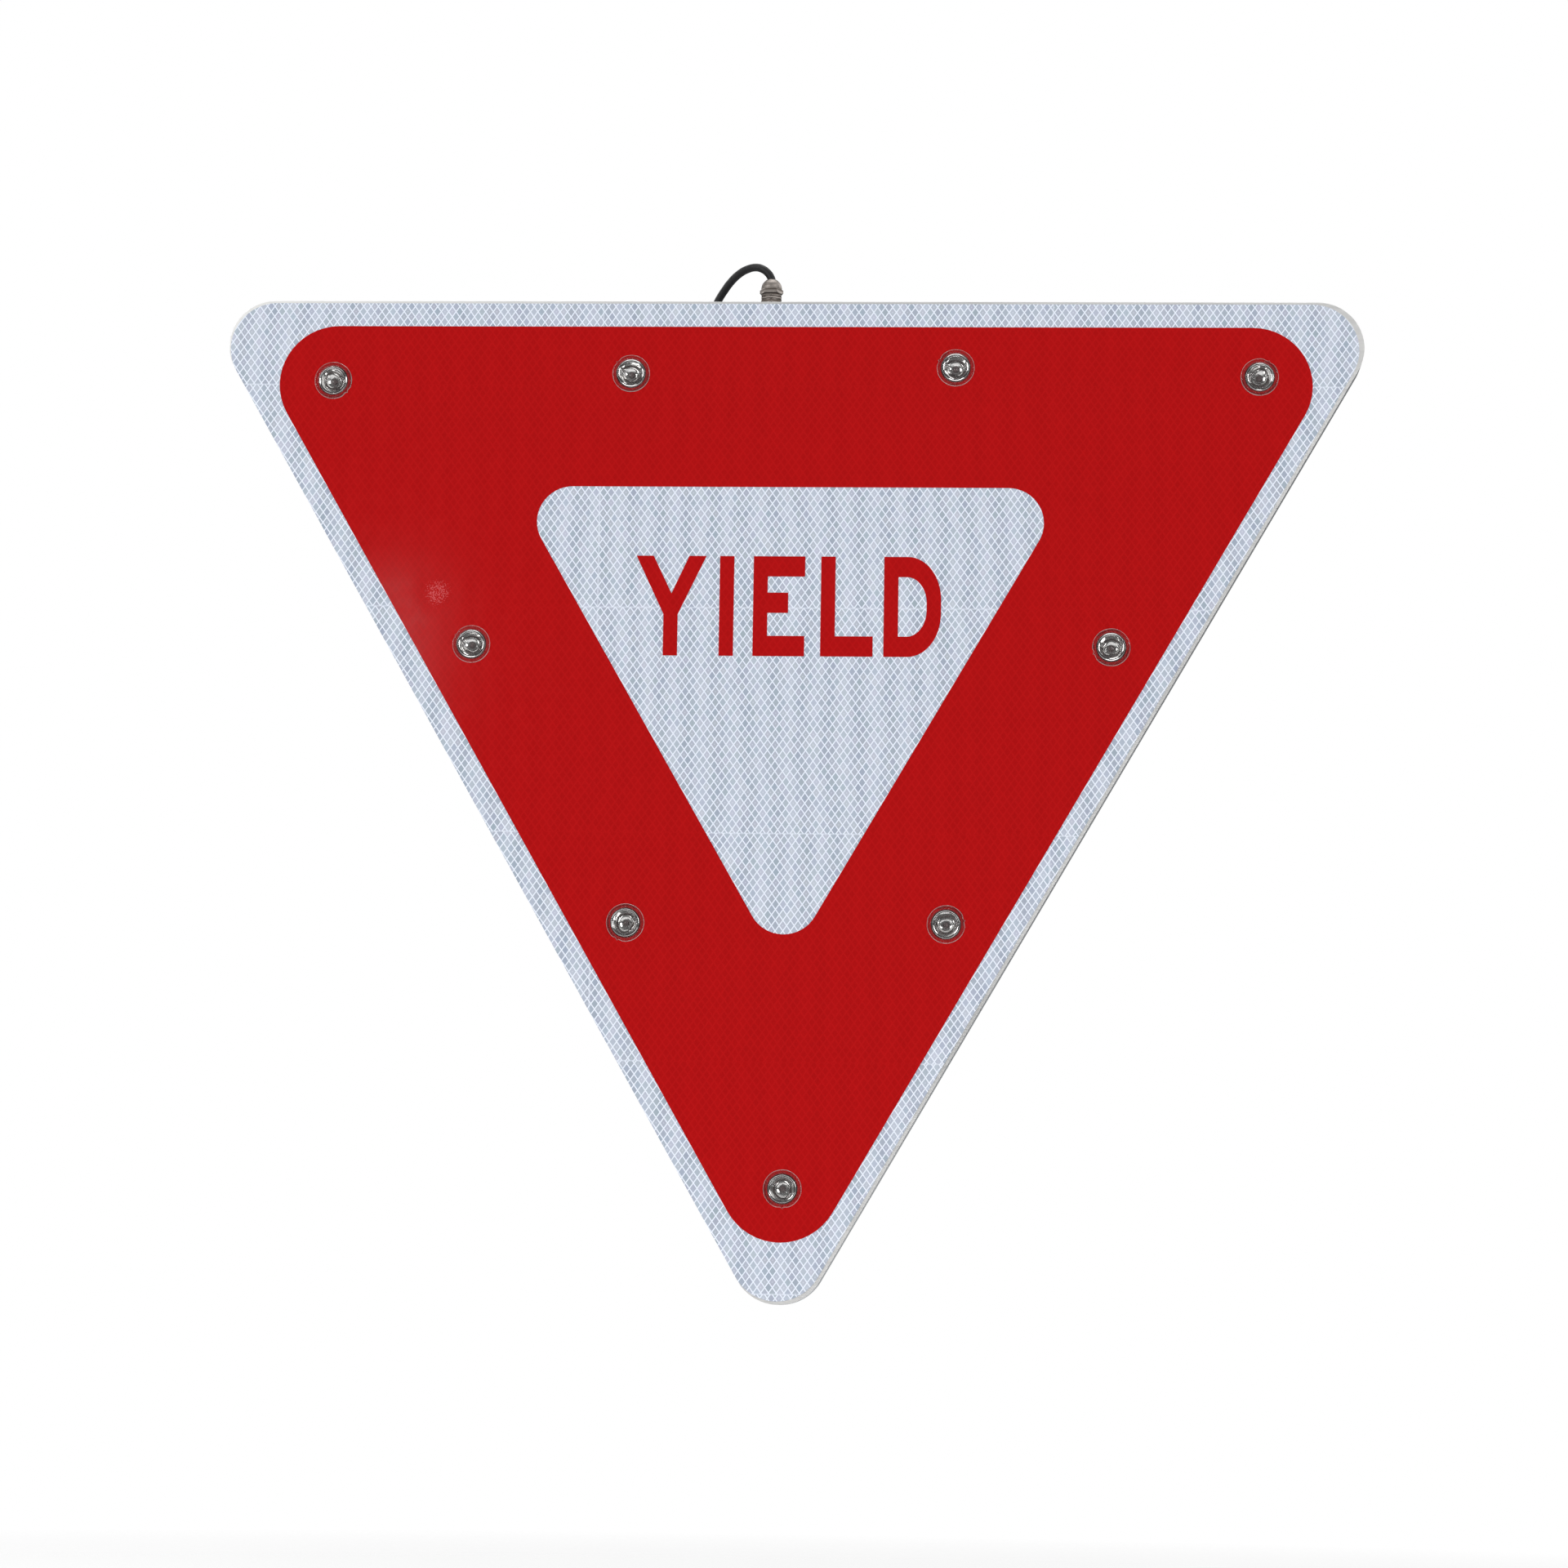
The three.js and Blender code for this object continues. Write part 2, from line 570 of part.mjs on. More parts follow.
function addTie() {
  const tieZ = COIL_Z + COIL_MID_R;
  const halfBase = 9.5;

  const base = outline([
    [-halfBase, COVER_BACK_Y], [halfBase, COVER_BACK_Y], [halfBase, COVER_BACK_Y + TIE_BASE_THICK],
    [-halfBase, COVER_BACK_Y + TIE_BASE_THICK],
  ]);
  const halfTunnel = TIE_WIDTH / 2 + GAP;
  const tunnelBackY = BAND_FRONT_Y + TIE_THICK + GAP;
  const tunnel = outline([
    [-halfTunnel, TUNNEL_FRONT_Y], [halfTunnel, TUNNEL_FRONT_Y], [halfTunnel, tunnelBackY],
    [-halfTunnel, tunnelBackY],
  ]);
  const inner = 2 * CORD_R + GAP;
  const pad = block(-halfBase, halfBase, COVER_BACK_Y, TUNNEL_FRONT_Y, -halfBase, halfBase);
  const bridge = column(withHoles(base, [tunnel]), GAP - inner, 2 * (inner - GAP));
  add('tie_base', join(pad, bridge), blackNylon(), COIL_X, 0, tieZ);

  // The band is a closed loop in y and z round one side of the coil, with its locking head on top.
  const band = outline([
    [BAND_FRONT_Y, -inner - TIE_THICK], [COIL_BACK_Y + GAP + TIE_THICK, -inner - TIE_THICK],
    [COIL_BACK_Y + GAP + TIE_THICK, inner + TIE_THICK], [BAND_FRONT_Y, inner + TIE_THICK],
  ]);
  const bundle = outline([
    [BAND_FRONT_Y + TIE_THICK, -inner], [COIL_BACK_Y + GAP, -inner], [COIL_BACK_Y + GAP, inner],
    [BAND_FRONT_Y + TIE_THICK, inner],
  ]);
  const loop = bar(withHoles(band, [bundle]), -TIE_WIDTH / 2, TIE_WIDTH);
  const headFront = FRONT_LAYER_Y + 1;
  const head = block(-3.6, 3.6, headFront, headFront + 5.5, inner + TIE_THICK / 2, inner + TIE_THICK + 4.5);
  add('lead_tie', join(loop, head), blackNylon(), COIL_X, 0, tieZ);
}

// ---- Electrics inside the enclosure -------------------------------------------------------------

const BOARD_Y = 21;
const BOARD_THICK = 1.6;
const LOOM_FRONT_Y = 11 + GAP;

function addElectrics() {
  const half = { x: 55, z: 35 };
  const standoffs = [];
  for (const x of [-1, 1]) {
    for (const z of [-1, 1]) {
      const place = circle(x * (half.x - 6), z * (half.z - 6), 3, 8);
      standoffs.push(plate(place, BOARD_Y + BOARD_THICK / 2, COVER_FRONT_Y - BOARD_Y - BOARD_THICK / 2));
    }
  }
  const board = join(
    block(-half.x, half.x, BOARD_Y, BOARD_Y + BOARD_THICK, -half.z, half.z),
    block(-32, 32, BOARD_Y - 9, BOARD_Y + 0.5, 23, 33),
    block(-40, -28, BOARD_Y - 6, BOARD_Y + 0.5, -12, 12),
    block(-8, 6, BOARD_Y - 2, BOARD_Y + 0.5, -8, 6),
    plate(circle(30, -6, 6.5, 12), BOARD_Y - 11, 11.5),
    ...standoffs,
  );
  add('flasher_board', board, boardGreen());

  // A flat loom runs behind every lamp, with one branch down to the terminals on the board.
  const loomInradius = 212;
  const ring = withHoles(roundedTriangle(loomInradius, 20), [roundedTriangle(loomInradius - 8, 12)]);
  const loom = join(
    plate(ring, LOOM_FRONT_Y, 2, 4),
    block(16, 24, LOOM_FRONT_Y, LOOM_FRONT_Y + 2, 33 + GAP, loomInradius - 4),
  );
  add('lamp_loom', loom, blackRubber());

  const supply = [
    [GLAND_X, GLAND_Y, THREAD_BOTTOM - GAP], [GLAND_X, GLAND_Y, 246], [GLAND_X, 17, 236],
    [GLAND_X, 18, 224], [GLAND_X, 18, 130], [GLAND_X, 17.5, 60], [GLAND_X, 17, 33 + GAP],
  ];
  add('supply_cable', tube(supply, 2.5, 8, 16), blackRubber());
}

addFace();
addLegend();
addLamps();
addFrame();
addCover();
addRails();
addGland();
addLead();
addTie();
addElectrics();

// The finished part has its origin on the back of the upper rail, in the middle of the upper lip.
pieces.position.set(0, -RAIL_BACK_Y, -UPPER_RAIL_Z - RAIL_LIP_OFFSET_Z);

export default sign;
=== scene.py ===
"""The looks of a triangular give-way sign head with nine flashing lamps.

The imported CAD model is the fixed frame. Its flat face plates, films, letters and inner parts stay and
get procedural materials. The lamps, the cable gland, the side channels, the rails, the rivets and the lead
with its tie and connector are built again here as finer meshes. The cover screws and, for each lamp, the
film collar, the seal, the chip and its clear drop are made only here. Measures are in the sign's own
millimetres, from the middle of the triangle and the front of its bare panel, and at() turns them into
metres in the row frame.
"""

import json
import math

import bmesh
import bpy
from mathutils import Matrix, Vector


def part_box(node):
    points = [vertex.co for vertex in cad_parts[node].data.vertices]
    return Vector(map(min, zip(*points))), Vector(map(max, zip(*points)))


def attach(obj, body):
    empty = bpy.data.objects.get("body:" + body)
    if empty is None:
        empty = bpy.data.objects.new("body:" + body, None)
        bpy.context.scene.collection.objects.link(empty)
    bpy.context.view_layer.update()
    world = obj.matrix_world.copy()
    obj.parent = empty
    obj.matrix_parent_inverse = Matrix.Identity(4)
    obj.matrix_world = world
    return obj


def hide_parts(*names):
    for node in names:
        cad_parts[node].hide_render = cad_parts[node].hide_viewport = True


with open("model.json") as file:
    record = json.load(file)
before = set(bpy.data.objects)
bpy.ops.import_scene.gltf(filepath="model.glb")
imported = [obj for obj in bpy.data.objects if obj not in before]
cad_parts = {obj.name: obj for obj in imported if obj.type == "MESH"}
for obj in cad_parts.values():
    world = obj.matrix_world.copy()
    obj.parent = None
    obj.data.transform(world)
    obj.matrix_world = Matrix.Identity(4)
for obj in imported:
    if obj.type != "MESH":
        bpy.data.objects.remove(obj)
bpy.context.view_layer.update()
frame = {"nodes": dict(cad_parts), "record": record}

# ---- Sizes, in millimetres ----------------------------------------------------------------------

MM = 0.001
FACE_SIDE = 914.4
INRADIUS = FACE_SIDE / (2 * math.sqrt(3))
FACE_CORNER_R = 35
PANEL_THICK = 2.5
FILM_FRONT_Y = -0.75

FRAME_BACK_Y = 28
FRAME_WALL = 2
FRAME_FLANGE = 14
COVER_BACK_Y = 30.5
COVER_EDGE = 1                     # the cover stops this far inside the side walls

RAIL_DEPTH = 20
RAIL_HEIGHT = 40
RAIL_WALL = 3
RAIL_SLOT = 13
RIVET_FROM_END = 60
RAILS = {"upper": (140, 560), "lower": (-160, 280)}     # height of the middle, length

LENS_FLANGE_R = 14.3
LENS_BASE_R = 11.2

GLAND_X = -17.6
GLAND_Y = 15
GLAND_MOUTH_Z = INRADIUS + 20.3

CORD_R = 3
COIL_X = -33
COIL_Z = 202.3
COIL_OUTER_TURN_R = 39
COIL_INNER_TURN_R = 33
BACK_LAYER_Y = 44.2
FRONT_LAYER_Y = 38.2
CONNECTOR_X = 16
CONNECTOR_Z = 167.3

panel_low, panel_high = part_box("front_panel")
SIGN_ORIGIN = Vector(((panel_low.x + panel_high.x) / 2, panel_low.y, panel_high.z - INRADIUS * MM))


def at(x, y, z):
    """A place in the sign's own millimetres, in metres in the row frame."""
    return SIGN_ORIGIN + MM * Vector((x, y, z))


# ---- Camera and studio --------------------------------------------------------------------------

CAMERA_PLACE = (172.15, -3029.1, -493.4)
CAMERA_AIM = (-1.35, FILM_FRONT_Y, -105.9)
CAMERA_ROLL = 0.89                 # degrees
LENS_MM = 93.75
SENSOR_MM = 36

FLOOR_Z = -850
FLOOR_RADIUS = 3.6
BACKGROUND_WHITE = 1.0
ROOM_LIGHT = 0.16

# place, width and height in metres, watts
SOFT_LIGHTS = {
    "key_left": ((-3300, -3600, 1500), 2.2, 2.2, 120),
    "key_right": ((3300, -3600, 1300), 2.2, 2.2, 104),
    "low_front": ((-300, -3600, -2300), 2.6, 0.8, 32),
    "top": ((0, 300, 3000), 2.6, 2.0, 70),
    "back_left": ((-3300, 2200, 2100), 2.0, 2.0, 95),
    "back_right": ((3300, 1900, 1900), 2.0, 2.0, 75),
    "window": ((-770, -3000, 470), 0.11, 0.24, 0.12),
}


def add_camera():
    data = bpy.data.cameras.new("camera")
    data.lens = LENS_MM
    data.sensor_width = SENSOR_MM
    camera = bpy.data.objects.new("camera", data)
    bpy.context.scene.collection.objects.link(camera)
    place = at(*CAMERA_PLACE)
    looking = (at(*CAMERA_AIM) - place).to_track_quat("-Z", "Y").to_matrix()
    rolled = looking @ Matrix.Rotation(math.radians(CAMERA_ROLL), 3, "Z")
    camera.matrix_world = Matrix.Translation(place) @ rolled.to_4x4()
    bpy.context.scene.camera = camera
    bpy.context.scene.view_settings.view_transform = "Standard"


def add_soft_light(name, place, width, height, watts):
    data = bpy.data.lights.new(name, "AREA")
    data.shape = "RECTANGLE"
    data.size = width
    data.size_y = height
    data.energy = watts
    light = bpy.data.objects.new(name, data)
    bpy.context.scene.collection.objects.link(light)
    light.location = at(*place)
    light.rotation_mode = "QUATERNION"
    light.rotation_quaternion = (SIGN_ORIGIN - light.location).to_track_quat("-Z", "Y")
    light.visible_camera = False


class Look:
    """A material being put together: a Principled shader with constants, and the nodes that feed it."""

    def __init__(self, name, constants):
        self.material = bpy.data.materials.new(name)
        self.material.use_nodes = True
        self.tree = self.material.node_tree
        self.shader = self.tree.nodes["Principled BSDF"]
        for socket, value in constants.items():
            self.shader.inputs[socket].default_value = value
        self.place = self.node("TexCoord").outputs["Object"]

    def node(self, kind, inputs=None, **settings):
        made = self.tree.nodes.new("ShaderNode" + kind)
        for key, value in settings.items():
            setattr(made, key, value)
        for key, value in (inputs or {}).items():
            self.feed(made.inputs[key], value)
        return made

    def feed(self, socket, value):
        if isinstance(value, bpy.types.NodeSocket):
            self.tree.links.new(value, socket)
        else:
            socket.default_value = value

    def give(self, socket, value):
        """Feeds one of the shader's own sockets."""
        self.feed(self.shader.inputs[socket], value)

    def math(self, operation, *values):
        return self.node("Math", dict(enumerate(values)), operation=operation).outputs[0]

    def scaled(self, x, y, z):
        """The place, stretched along each axis."""
        return self.node("Mapping", {"Vector": self.place, "Scale": (x, y, z)}).outputs[0]

    def noise(self, where, scale, detail=2.0):
        inputs = {"Vector": where, "Scale": scale, "Detail": detail}
        return self.node("TexNoise", inputs).outputs["Fac"]

    def spread(self, value, low, high, from_low=0.0, from_high=1.0):
        """A value mapped from one range to another, and held inside it."""
        inputs = {
            "Value": value, "From Min": from_low, "From Max": from_high, "To Min": low, "To Max": high,
        }
        return self.node("MapRange", inputs).outputs[0]

    def blend(self, share, first, second, kind="MIX"):
        made = self.node("Mix", {0: share, 6: first, 7: second}, data_type="RGBA", blend_type=kind)
        return made.outputs[2]

    def bump(self, height, millimetres, strength=1.0):
        inputs = {"Height": height, "Distance": millimetres * MM, "Strength": strength}
        self.give("Normal", self.node("Bump", inputs).outputs[0])


def tone(red, green, blue):
    """A colour given as it is seen, from 0 to 255, as the linear colour that nodes use."""
    def linear(level):
        share = level / 255
        return share / 12.92 if share <= 0.04045 else ((share + 0.055) / 1.055) ** 2.4
    return (linear(red), linear(green), linear(blue), 1.0)


def add_floor():
    """A pale round floor that fades out at its rim into the white of the room."""
    bpy.ops.mesh.primitive_circle_add(vertices=128, radius=FLOOR_RADIUS, fill_type="NGON")
    floor = bpy.context.object
    floor.name = "studio_floor"
    floor.location = at(0, 0, FLOOR_Z)
    look = Look("floor", {"Roughness": 0.9, "Specular IOR Level": 0.1})
    tint = look.noise(look.place, 1.5)
    look.give("Base Color", look.blend(tint, tone(238, 238, 238), tone(244, 244, 244)))
    reach = look.node("VectorMath", {0: look.place}, operation="LENGTH").outputs["Value"]
    look.give("Alpha", look.spread(reach, 1.0, 0.0, 0.35 * FLOOR_RADIUS, 0.97 * FLOOR_RADIUS))
    floor.data.materials.append(look.material)


def add_room():
    """A white surround that lights the sign only softly, so that its gloss and metal keep dark parts."""
    world = bpy.data.worlds.new("room")
    bpy.context.scene.world = world
    world.use_nodes = True
    tree = world.node_tree
    background = tree.nodes["Background"]
    background.inputs["Color"].default_value = (1, 1, 1, 1)
    seen = tree.nodes.new("ShaderNodeLightPath").outputs["Is Camera Ray"]
    strength = tree.nodes.new("ShaderNodeMapRange")
    tree.links.new(seen, strength.inputs["Value"])
    strength.inputs["To Min"].default_value = ROOM_LIGHT
    strength.inputs["To Max"].default_value = BACKGROUND_WHITE
    tree.links.new(strength.outputs[0], background.inputs["Strength"])


def add_studio():
    add_camera()
    add_room()
    add_floor()
    for name, (place, width, height, watts) in SOFT_LIGHTS.items():
        add_soft_light(name, place, width, height, watts)


# ---- Materials ----------------------------------------------------------------------------------

def bare_aluminium():
    """Rolled sheet: long fine streaks along x and a slow stain."""
    look = Look("bare_aluminium", {"Metallic": 1.0})
    streaks = look.noise(look.scaled(6, 60, 900), 1.0, 3.0)
    stain = look.noise(look.place, 9.0)
    metal = look.blend(streaks, tone(226, 226, 225), tone(240, 240, 238))
    stained = look.spread(stain, 0.0, 0.35, 0.45, 0.75)
    look.give("Base Color", look.blend(stained, metal, tone(212, 212, 211)))
    look.give("Roughness", look.spread(look.math("ADD", streaks, stain), 0.4, 0.58, 0.6, 1.4))
    look.bump(streaks, 0.03, 0.6)
    return look.material


def mill_aluminium():
    """Extruded profile: die lines along its length, duller than sheet, with small pits; its darker tone is
    partly painted shade.
    """
    look = Look("mill_aluminium", {"Metallic": 1.0})
    lines = look.noise(look.scaled(3, 700, 700), 1.0, 3.0)
    pits = look.noise(look.place, 420.0, 1.0)
    # The base tones are darker than the sheet's partly as the mill finish is and partly as painted shade
    # for the side walls.
    metal = look.blend(lines, tone(150, 152, 155), tone(178, 180, 182))
    pitted = look.spread(pits, 0.0, 0.5, 0.62, 0.8)
    look.give("Base Color", look.blend(pitted, metal, tone(120, 122, 125)))
    look.give("Roughness", look.spread(lines, 0.38, 0.55, 0.3, 0.7))
    look.bump(look.math("ADD", lines, pits), 0.04, 0.5)
    return look.material


CELL_WIDTH = 5.7                   # of one diamond of the prismatic sheeting
CELL_HEIGHT = 8.0
CELL_LINE = 0.09                   # half the width of the lines, as a share of a cell
COLUMNS_PER_BAND = 7.5             # half-cell columns from one darker band to the next
TILE_WIDTH = 342                   # the mould of the sheeting repeats with a faint seam
TILE_HEIGHT = 171
TILE_SHIFT = 0.37                  # of the lattice, in cells, from one row of tiles to the next
TILE_CORNER = (-144.5, FILM_FRONT_Y, 27.7)
# Pale flecks are painted on this creased spot as glints of light off its creases.
CREASE_PLACE = (-266.5, FILM_FRONT_Y, 38)    # a small creased spot in the red film
CREASE_REACH = 26


def from_corner(look, axis, size):
    """How many tiles of a size lie between the tile corner and a point, along one axis."""
    off_corner = look.node("VectorMath", {0: look.place, 1: at(*TILE_CORNER)}, operation="SUBTRACT")
    along = look.node("SeparateXYZ", {0: off_corner.outputs["Vector"]}).outputs[axis]
    return look.math("DIVIDE", along, size * MM)


def cell_lattice(look):
    """The diamond lattice: nearness to a line from 0 to 0.5, the cell's place in it, and the seams."""
    tiles_across = from_corner(look, "X", TILE_WIDTH)
    tiles_upward = from_corner(look, "Z", TILE_HEIGHT)
    shift = look.math("MULTIPLY", look.math("FLOOR", tiles_upward), TILE_SHIFT)
    across = look.math("MULTIPLY_ADD", tiles_across, TILE_WIDTH / CELL_WIDTH, shift)
    upward = look.math("MULTIPLY", tiles_upward, TILE_HEIGHT / CELL_HEIGHT)
    diagonals = [look.math("ADD", across, upward), look.math("SUBTRACT", across, upward)]
    off_middle = []
    for diagonal in diagonals:
        past_middle = look.math("SUBTRACT", look.math("FRACT", diagonal), 0.5)
        off_middle.append(look.math("ABSOLUTE", past_middle))
    nearness = look.math("MAXIMUM", *off_middle)
    cell = [look.math("FLOOR", d) for d in diagonals]
    seams = []
    for tiles, size in ((tiles_across, TILE_WIDTH), (tiles_upward, TILE_HEIGHT)):
        off_seam = look.math("ABSOLUTE", look.math("SUBTRACT", tiles, look.math("ROUND", tiles)))
        seams.append(look.spread(off_seam, 1.0, 0.0, 0.3 / size, 0.9 / size))
    return nearness, cell, look.math("MAXIMUM", *seams)


def darker_bands(look, cell):
    """Darker and lighter columns of whole cells, from -1 to 1, that waver slowly down the sheet."""
    column = look.math("ADD", *cell)
    waver = look.math("MULTIPLY", look.noise(look.place, 9.0), 9.0)
    return look.math("SINE", look.math("MULTIPLY_ADD", column, 2 * math.pi / COLUMNS_PER_BAND, waver))


def white_sheeting():
    """Prismatic sheeting: thin pale lines between blue-grey diamonds, each of its own tone."""
    look = Look("white_sheeting", {"Roughness": 0.34, "Specular IOR Level": 0.3})
    nearness, cell, seam = cell_lattice(look)
    number = look.node("CombineXYZ", dict(enumerate(cell))).outputs[0]
    own = look.node("TexWhiteNoise", {"Vector": number}, noise_dimensions="3D").outputs
    band = look.math("MULTIPLY_ADD", darker_bands(look, cell), 0.3, 0.33)
    share = look.spread(look.math("MULTIPLY_ADD", own["Value"], 0.34, band), 0.0, 1.0)
    cells = look.blend(share, tone(158, 168, 184), tone(192, 200, 215))
    cells = look.blend(0.025, cells, own["Color"])
    rare = look.spread(own["Value"], 0.0, 0.5, 0.6, 0.65)
    dot = look.math("MULTIPLY", look.spread(nearness, 1.0, 0.0, 0.04, 0.13), rare)
    cells = look.blend(dot, cells, tone(226, 231, 240))
    line = look.spread(nearness, 0.0, 1.0, 0.5 - CELL_LINE - 0.015, 0.5 - CELL_LINE + 0.015)
    pale = look.math("MAXIMUM", line, look.math("MULTIPLY", seam, 0.45))
    look.give("Base Color", look.blend(pale, cells, tone(232, 238, 249)))
    look.bump(line, 0.05, 0.5)
    return look.material


def red_film():
    """Glossy overlay film, with the lattice below faintly pressed through it and one creased spot with
    painted glints.
    """
    look = Look("red_film", {"Specular IOR Level": 0.35})
    nearness, cell, seam = cell_lattice(look)
    mottle = look.noise(look.place, 160.0, 3.0)
    red = look.blend(mottle, tone(166, 5, 7), tone(178, 9, 11))
    banded = look.math("MULTIPLY_ADD", darker_bands(look, cell), 0.07, 0.07)
    red = look.blend(banded, red, tone(148, 2, 4))
    pressed = look.spread(nearness, 0.0, 0.34, 0.3, 0.5)
    pressed = look.math("MAXIMUM", pressed, look.math("MULTIPLY", seam, 0.12))
    red = look.blend(pressed, red, tone(196, 20, 22))
    off_crease = look.node("VectorMath", {0: look.place, 1: at(*CREASE_PLACE)}, operation="DISTANCE")
    reach = CREASE_REACH * MM
    creased = look.spread(off_crease.outputs["Value"], 1.0, 0.0, 0.2 * reach, reach)
    creases = look.math("MULTIPLY", look.noise(look.place, 900.0, 1.0), creased)
    # Painted highlight: pale pink flecks on the creased spot stand in for glints of light; the creases'
    # bump below is real.
    painted_glints = look.spread(creases, 0.0, 0.45, 0.46, 0.6)
    look.give("Base Color", look.blend(painted_glints, red, tone(226, 120, 124)))
    look.give("Roughness", look.spread(mottle, 0.07, 0.12, 0.3, 0.7))
    ridges = look.spread(nearness, 0.0, 0.25, 0.3, 0.5)
    waves = look.math("ADD", ridges, look.math("MULTIPLY", mottle, 0.5))
    look.bump(look.math("MULTIPLY_ADD", creases, 6.0, waves), 0.02, 0.6)
    return look.material


def clear_plastic(name, alpha, dark, light):
    """Clear moulded plastic, shown as a thin glossy skin so that light still reaches what is below."""
    look = Look(name, {"Specular IOR Level": 1.0, "Alpha": alpha, "IOR": 1.49})
    flow = look.noise(look.place, 260.0, 1.0)
    look.give("Base Color", look.blend(flow, dark, light))
    look.give("Roughness", look.spread(flow, 0.03, 0.1, 0.3, 0.8))
    look.bump(flow, 0.05, 0.4)
    return look.material


def silvered_cup():
    look = Look("silvered_cup", {"Metallic": 1.0})
    ripple = look.noise(look.place, 120.0, 1.0)
    look.give("Base Color", look.blend(ripple, tone(222, 221, 220), tone(246, 245, 243)))
    look.give("Roughness", look.spread(ripple, 0.06, 0.16, 0.3, 0.7))
    look.bump(ripple, 0.2, 0.35)
    return look.material


def emitter():
    """The brownish package of a light-emitting chip."""
    look = Look("emitter", {"Specular IOR Level": 0.6})
    grain = look.noise(look.place, 1500.0)
    look.give("Base Color", look.blend(grain, tone(64, 52, 55), tone(122, 104, 102)))
    look.give("Roughness", look.spread(grain, 0.2, 0.4))
    return look.material


def nickel_plate():
    """Worn nickel on brass: warm grey, satin, with turning marks and darker stains."""
    look = Look("nickel_plate", {"Metallic": 1.0})
    rings = look.noise(look.scaled(30, 30, 560), 1.0, 2.0)
    marks = look.noise(look.place, 300.0, 4.0)
    stain = look.spread(rings, 0.0, 0.8, 0.46, 0.6)
    metal = look.blend(marks, tone(130, 123, 118), tone(162, 155, 149))
    look.give("Base Color", look.blend(stain, metal, tone(74, 65, 59)))
    look.give("Roughness", look.spread(marks, 0.5, 0.66, 0.3, 0.7))
    look.bump(look.math("ADD", rings, marks), 0.06, 0.6)
    return look.material


def rivet_steel():
    look = Look("rivet_steel", {"Metallic": 1.0})
    spots = look.noise(look.place, 800.0, 3.0)
    look.give("Base Color", look.blend(spots, tone(160, 162, 166), tone(208, 209, 212)))
    look.give("Roughness", look.spread(spots, 0.25, 0.5, 0.3, 0.7))
    look.bump(spots, 0.03, 0.6)
    return look.material


def dull_black(name, dark, light, rough, grain_scale, depth):
    """A moulded black plastic or rubber with a fine grain and paler scuffs."""
    look = Look(name, {"Specular IOR Level": 0.4})
    grain = look.noise(look.place, grain_scale, 3.0)
    scuff = look.noise(look.place, 60.0, 4.0)
    look.give("Base Color", look.blend(look.spread(scuff, 0.0, 1.0, 0.4, 0.75), dark, light))
    look.give("Roughness", look.spread(grain, rough - 0.1, rough + 0.1, 0.3, 0.7))
    look.bump(grain, depth, 0.7)
    return look.material


def circuit_board():
    look = Look("circuit_board", {"Roughness": 0.4})
    traces = look.node("TexBrick", {"Vector": look.place, "Scale": 90.0}).outputs["Fac"]
    tint = look.noise(look.place, 90.0)
    green = look.blend(tint, tone(22, 74, 42), tone(30, 92, 54))
    look.give("Base Color", look.blend(traces, green, tone(52, 120, 76)))
    return look.material


MATERIALS = {
    "bare_aluminium": bare_aluminium(),
    "mill_aluminium": mill_aluminium(),
    "white_sheeting": white_sheeting(),
    "red_film": red_film(),
    "clear_lens": clear_plastic("clear_lens", 0.1, tone(72, 72, 72), tone(108, 108, 108)),
    # Painted highlight: the edge skin's pale tone stands in for the bright arcs of light on the lens rims.
    "clear_edge_painted_highlight": clear_plastic("clear_edge_painted_highlight", 0.4, tone(188, 178, 178), tone(232, 226, 226)),
    "silvered_cup": silvered_cup(),
    "black_nylon": dull_black("black_nylon", tone(26, 26, 28), tone(42, 42, 44), 0.5, 900.0, 0.02),
    "black_rubber": dull_black("black_rubber", tone(20, 20, 21), tone(36, 36, 37), 0.75, 1400.0, 0.03),
    "cord_jacket": dull_black("cord_jacket", tone(15, 15, 17), tone(26, 26, 28), 0.6, 1100.0, 0.03),
    "nickel_plate": nickel_plate(),
    "rivet_steel": rivet_steel(),
    "circuit_board": circuit_board(),
    "emitter": emitter(),
}


def dress_cad_nodes():
    """Gives every CAD node the procedural material of its slot."""
    for entry in frame["record"]["subparts"]:
        mesh = frame["nodes"][entry["node"]].data
        mesh.materials.clear()
        mesh.materials.append(MATERIALS[entry["material_slot"]])


# ---- Shapes: a shape is (points, faces), in millimetres ---------------------------------------------

def filleted(corners, radius, steps=4, closed=True):
    """An outline with its corners rounded. The ends of an open one stay sharp."""
    made = []
    for i, corner in enumerate(corners):
        here = Vector(corner)
        to_before = Vector(corners[i - 1]) - here
        to_after = Vector(corners[(i + 1) % len(corners)]) - here
        at_end = not closed and i in (0, len(corners) - 1)
        if at_end or to_before.angle(to_after) > math.radians(176):
            made.append(tuple(here))
            continue
        reach = radius / math.tan(to_before.angle(to_after) / 2)
        reach = min(reach, 0.48 * to_before.length, 0.48 * to_after.length)
        start = here + reach * to_before.normalized()
        end = here + reach * to_after.normalized()
        for k in range(steps + 1):
            t = k / steps
            made.append(tuple((1 - t) ** 2 * start + 2 * t * (1 - t) * here + t ** 2 * end))
    return made


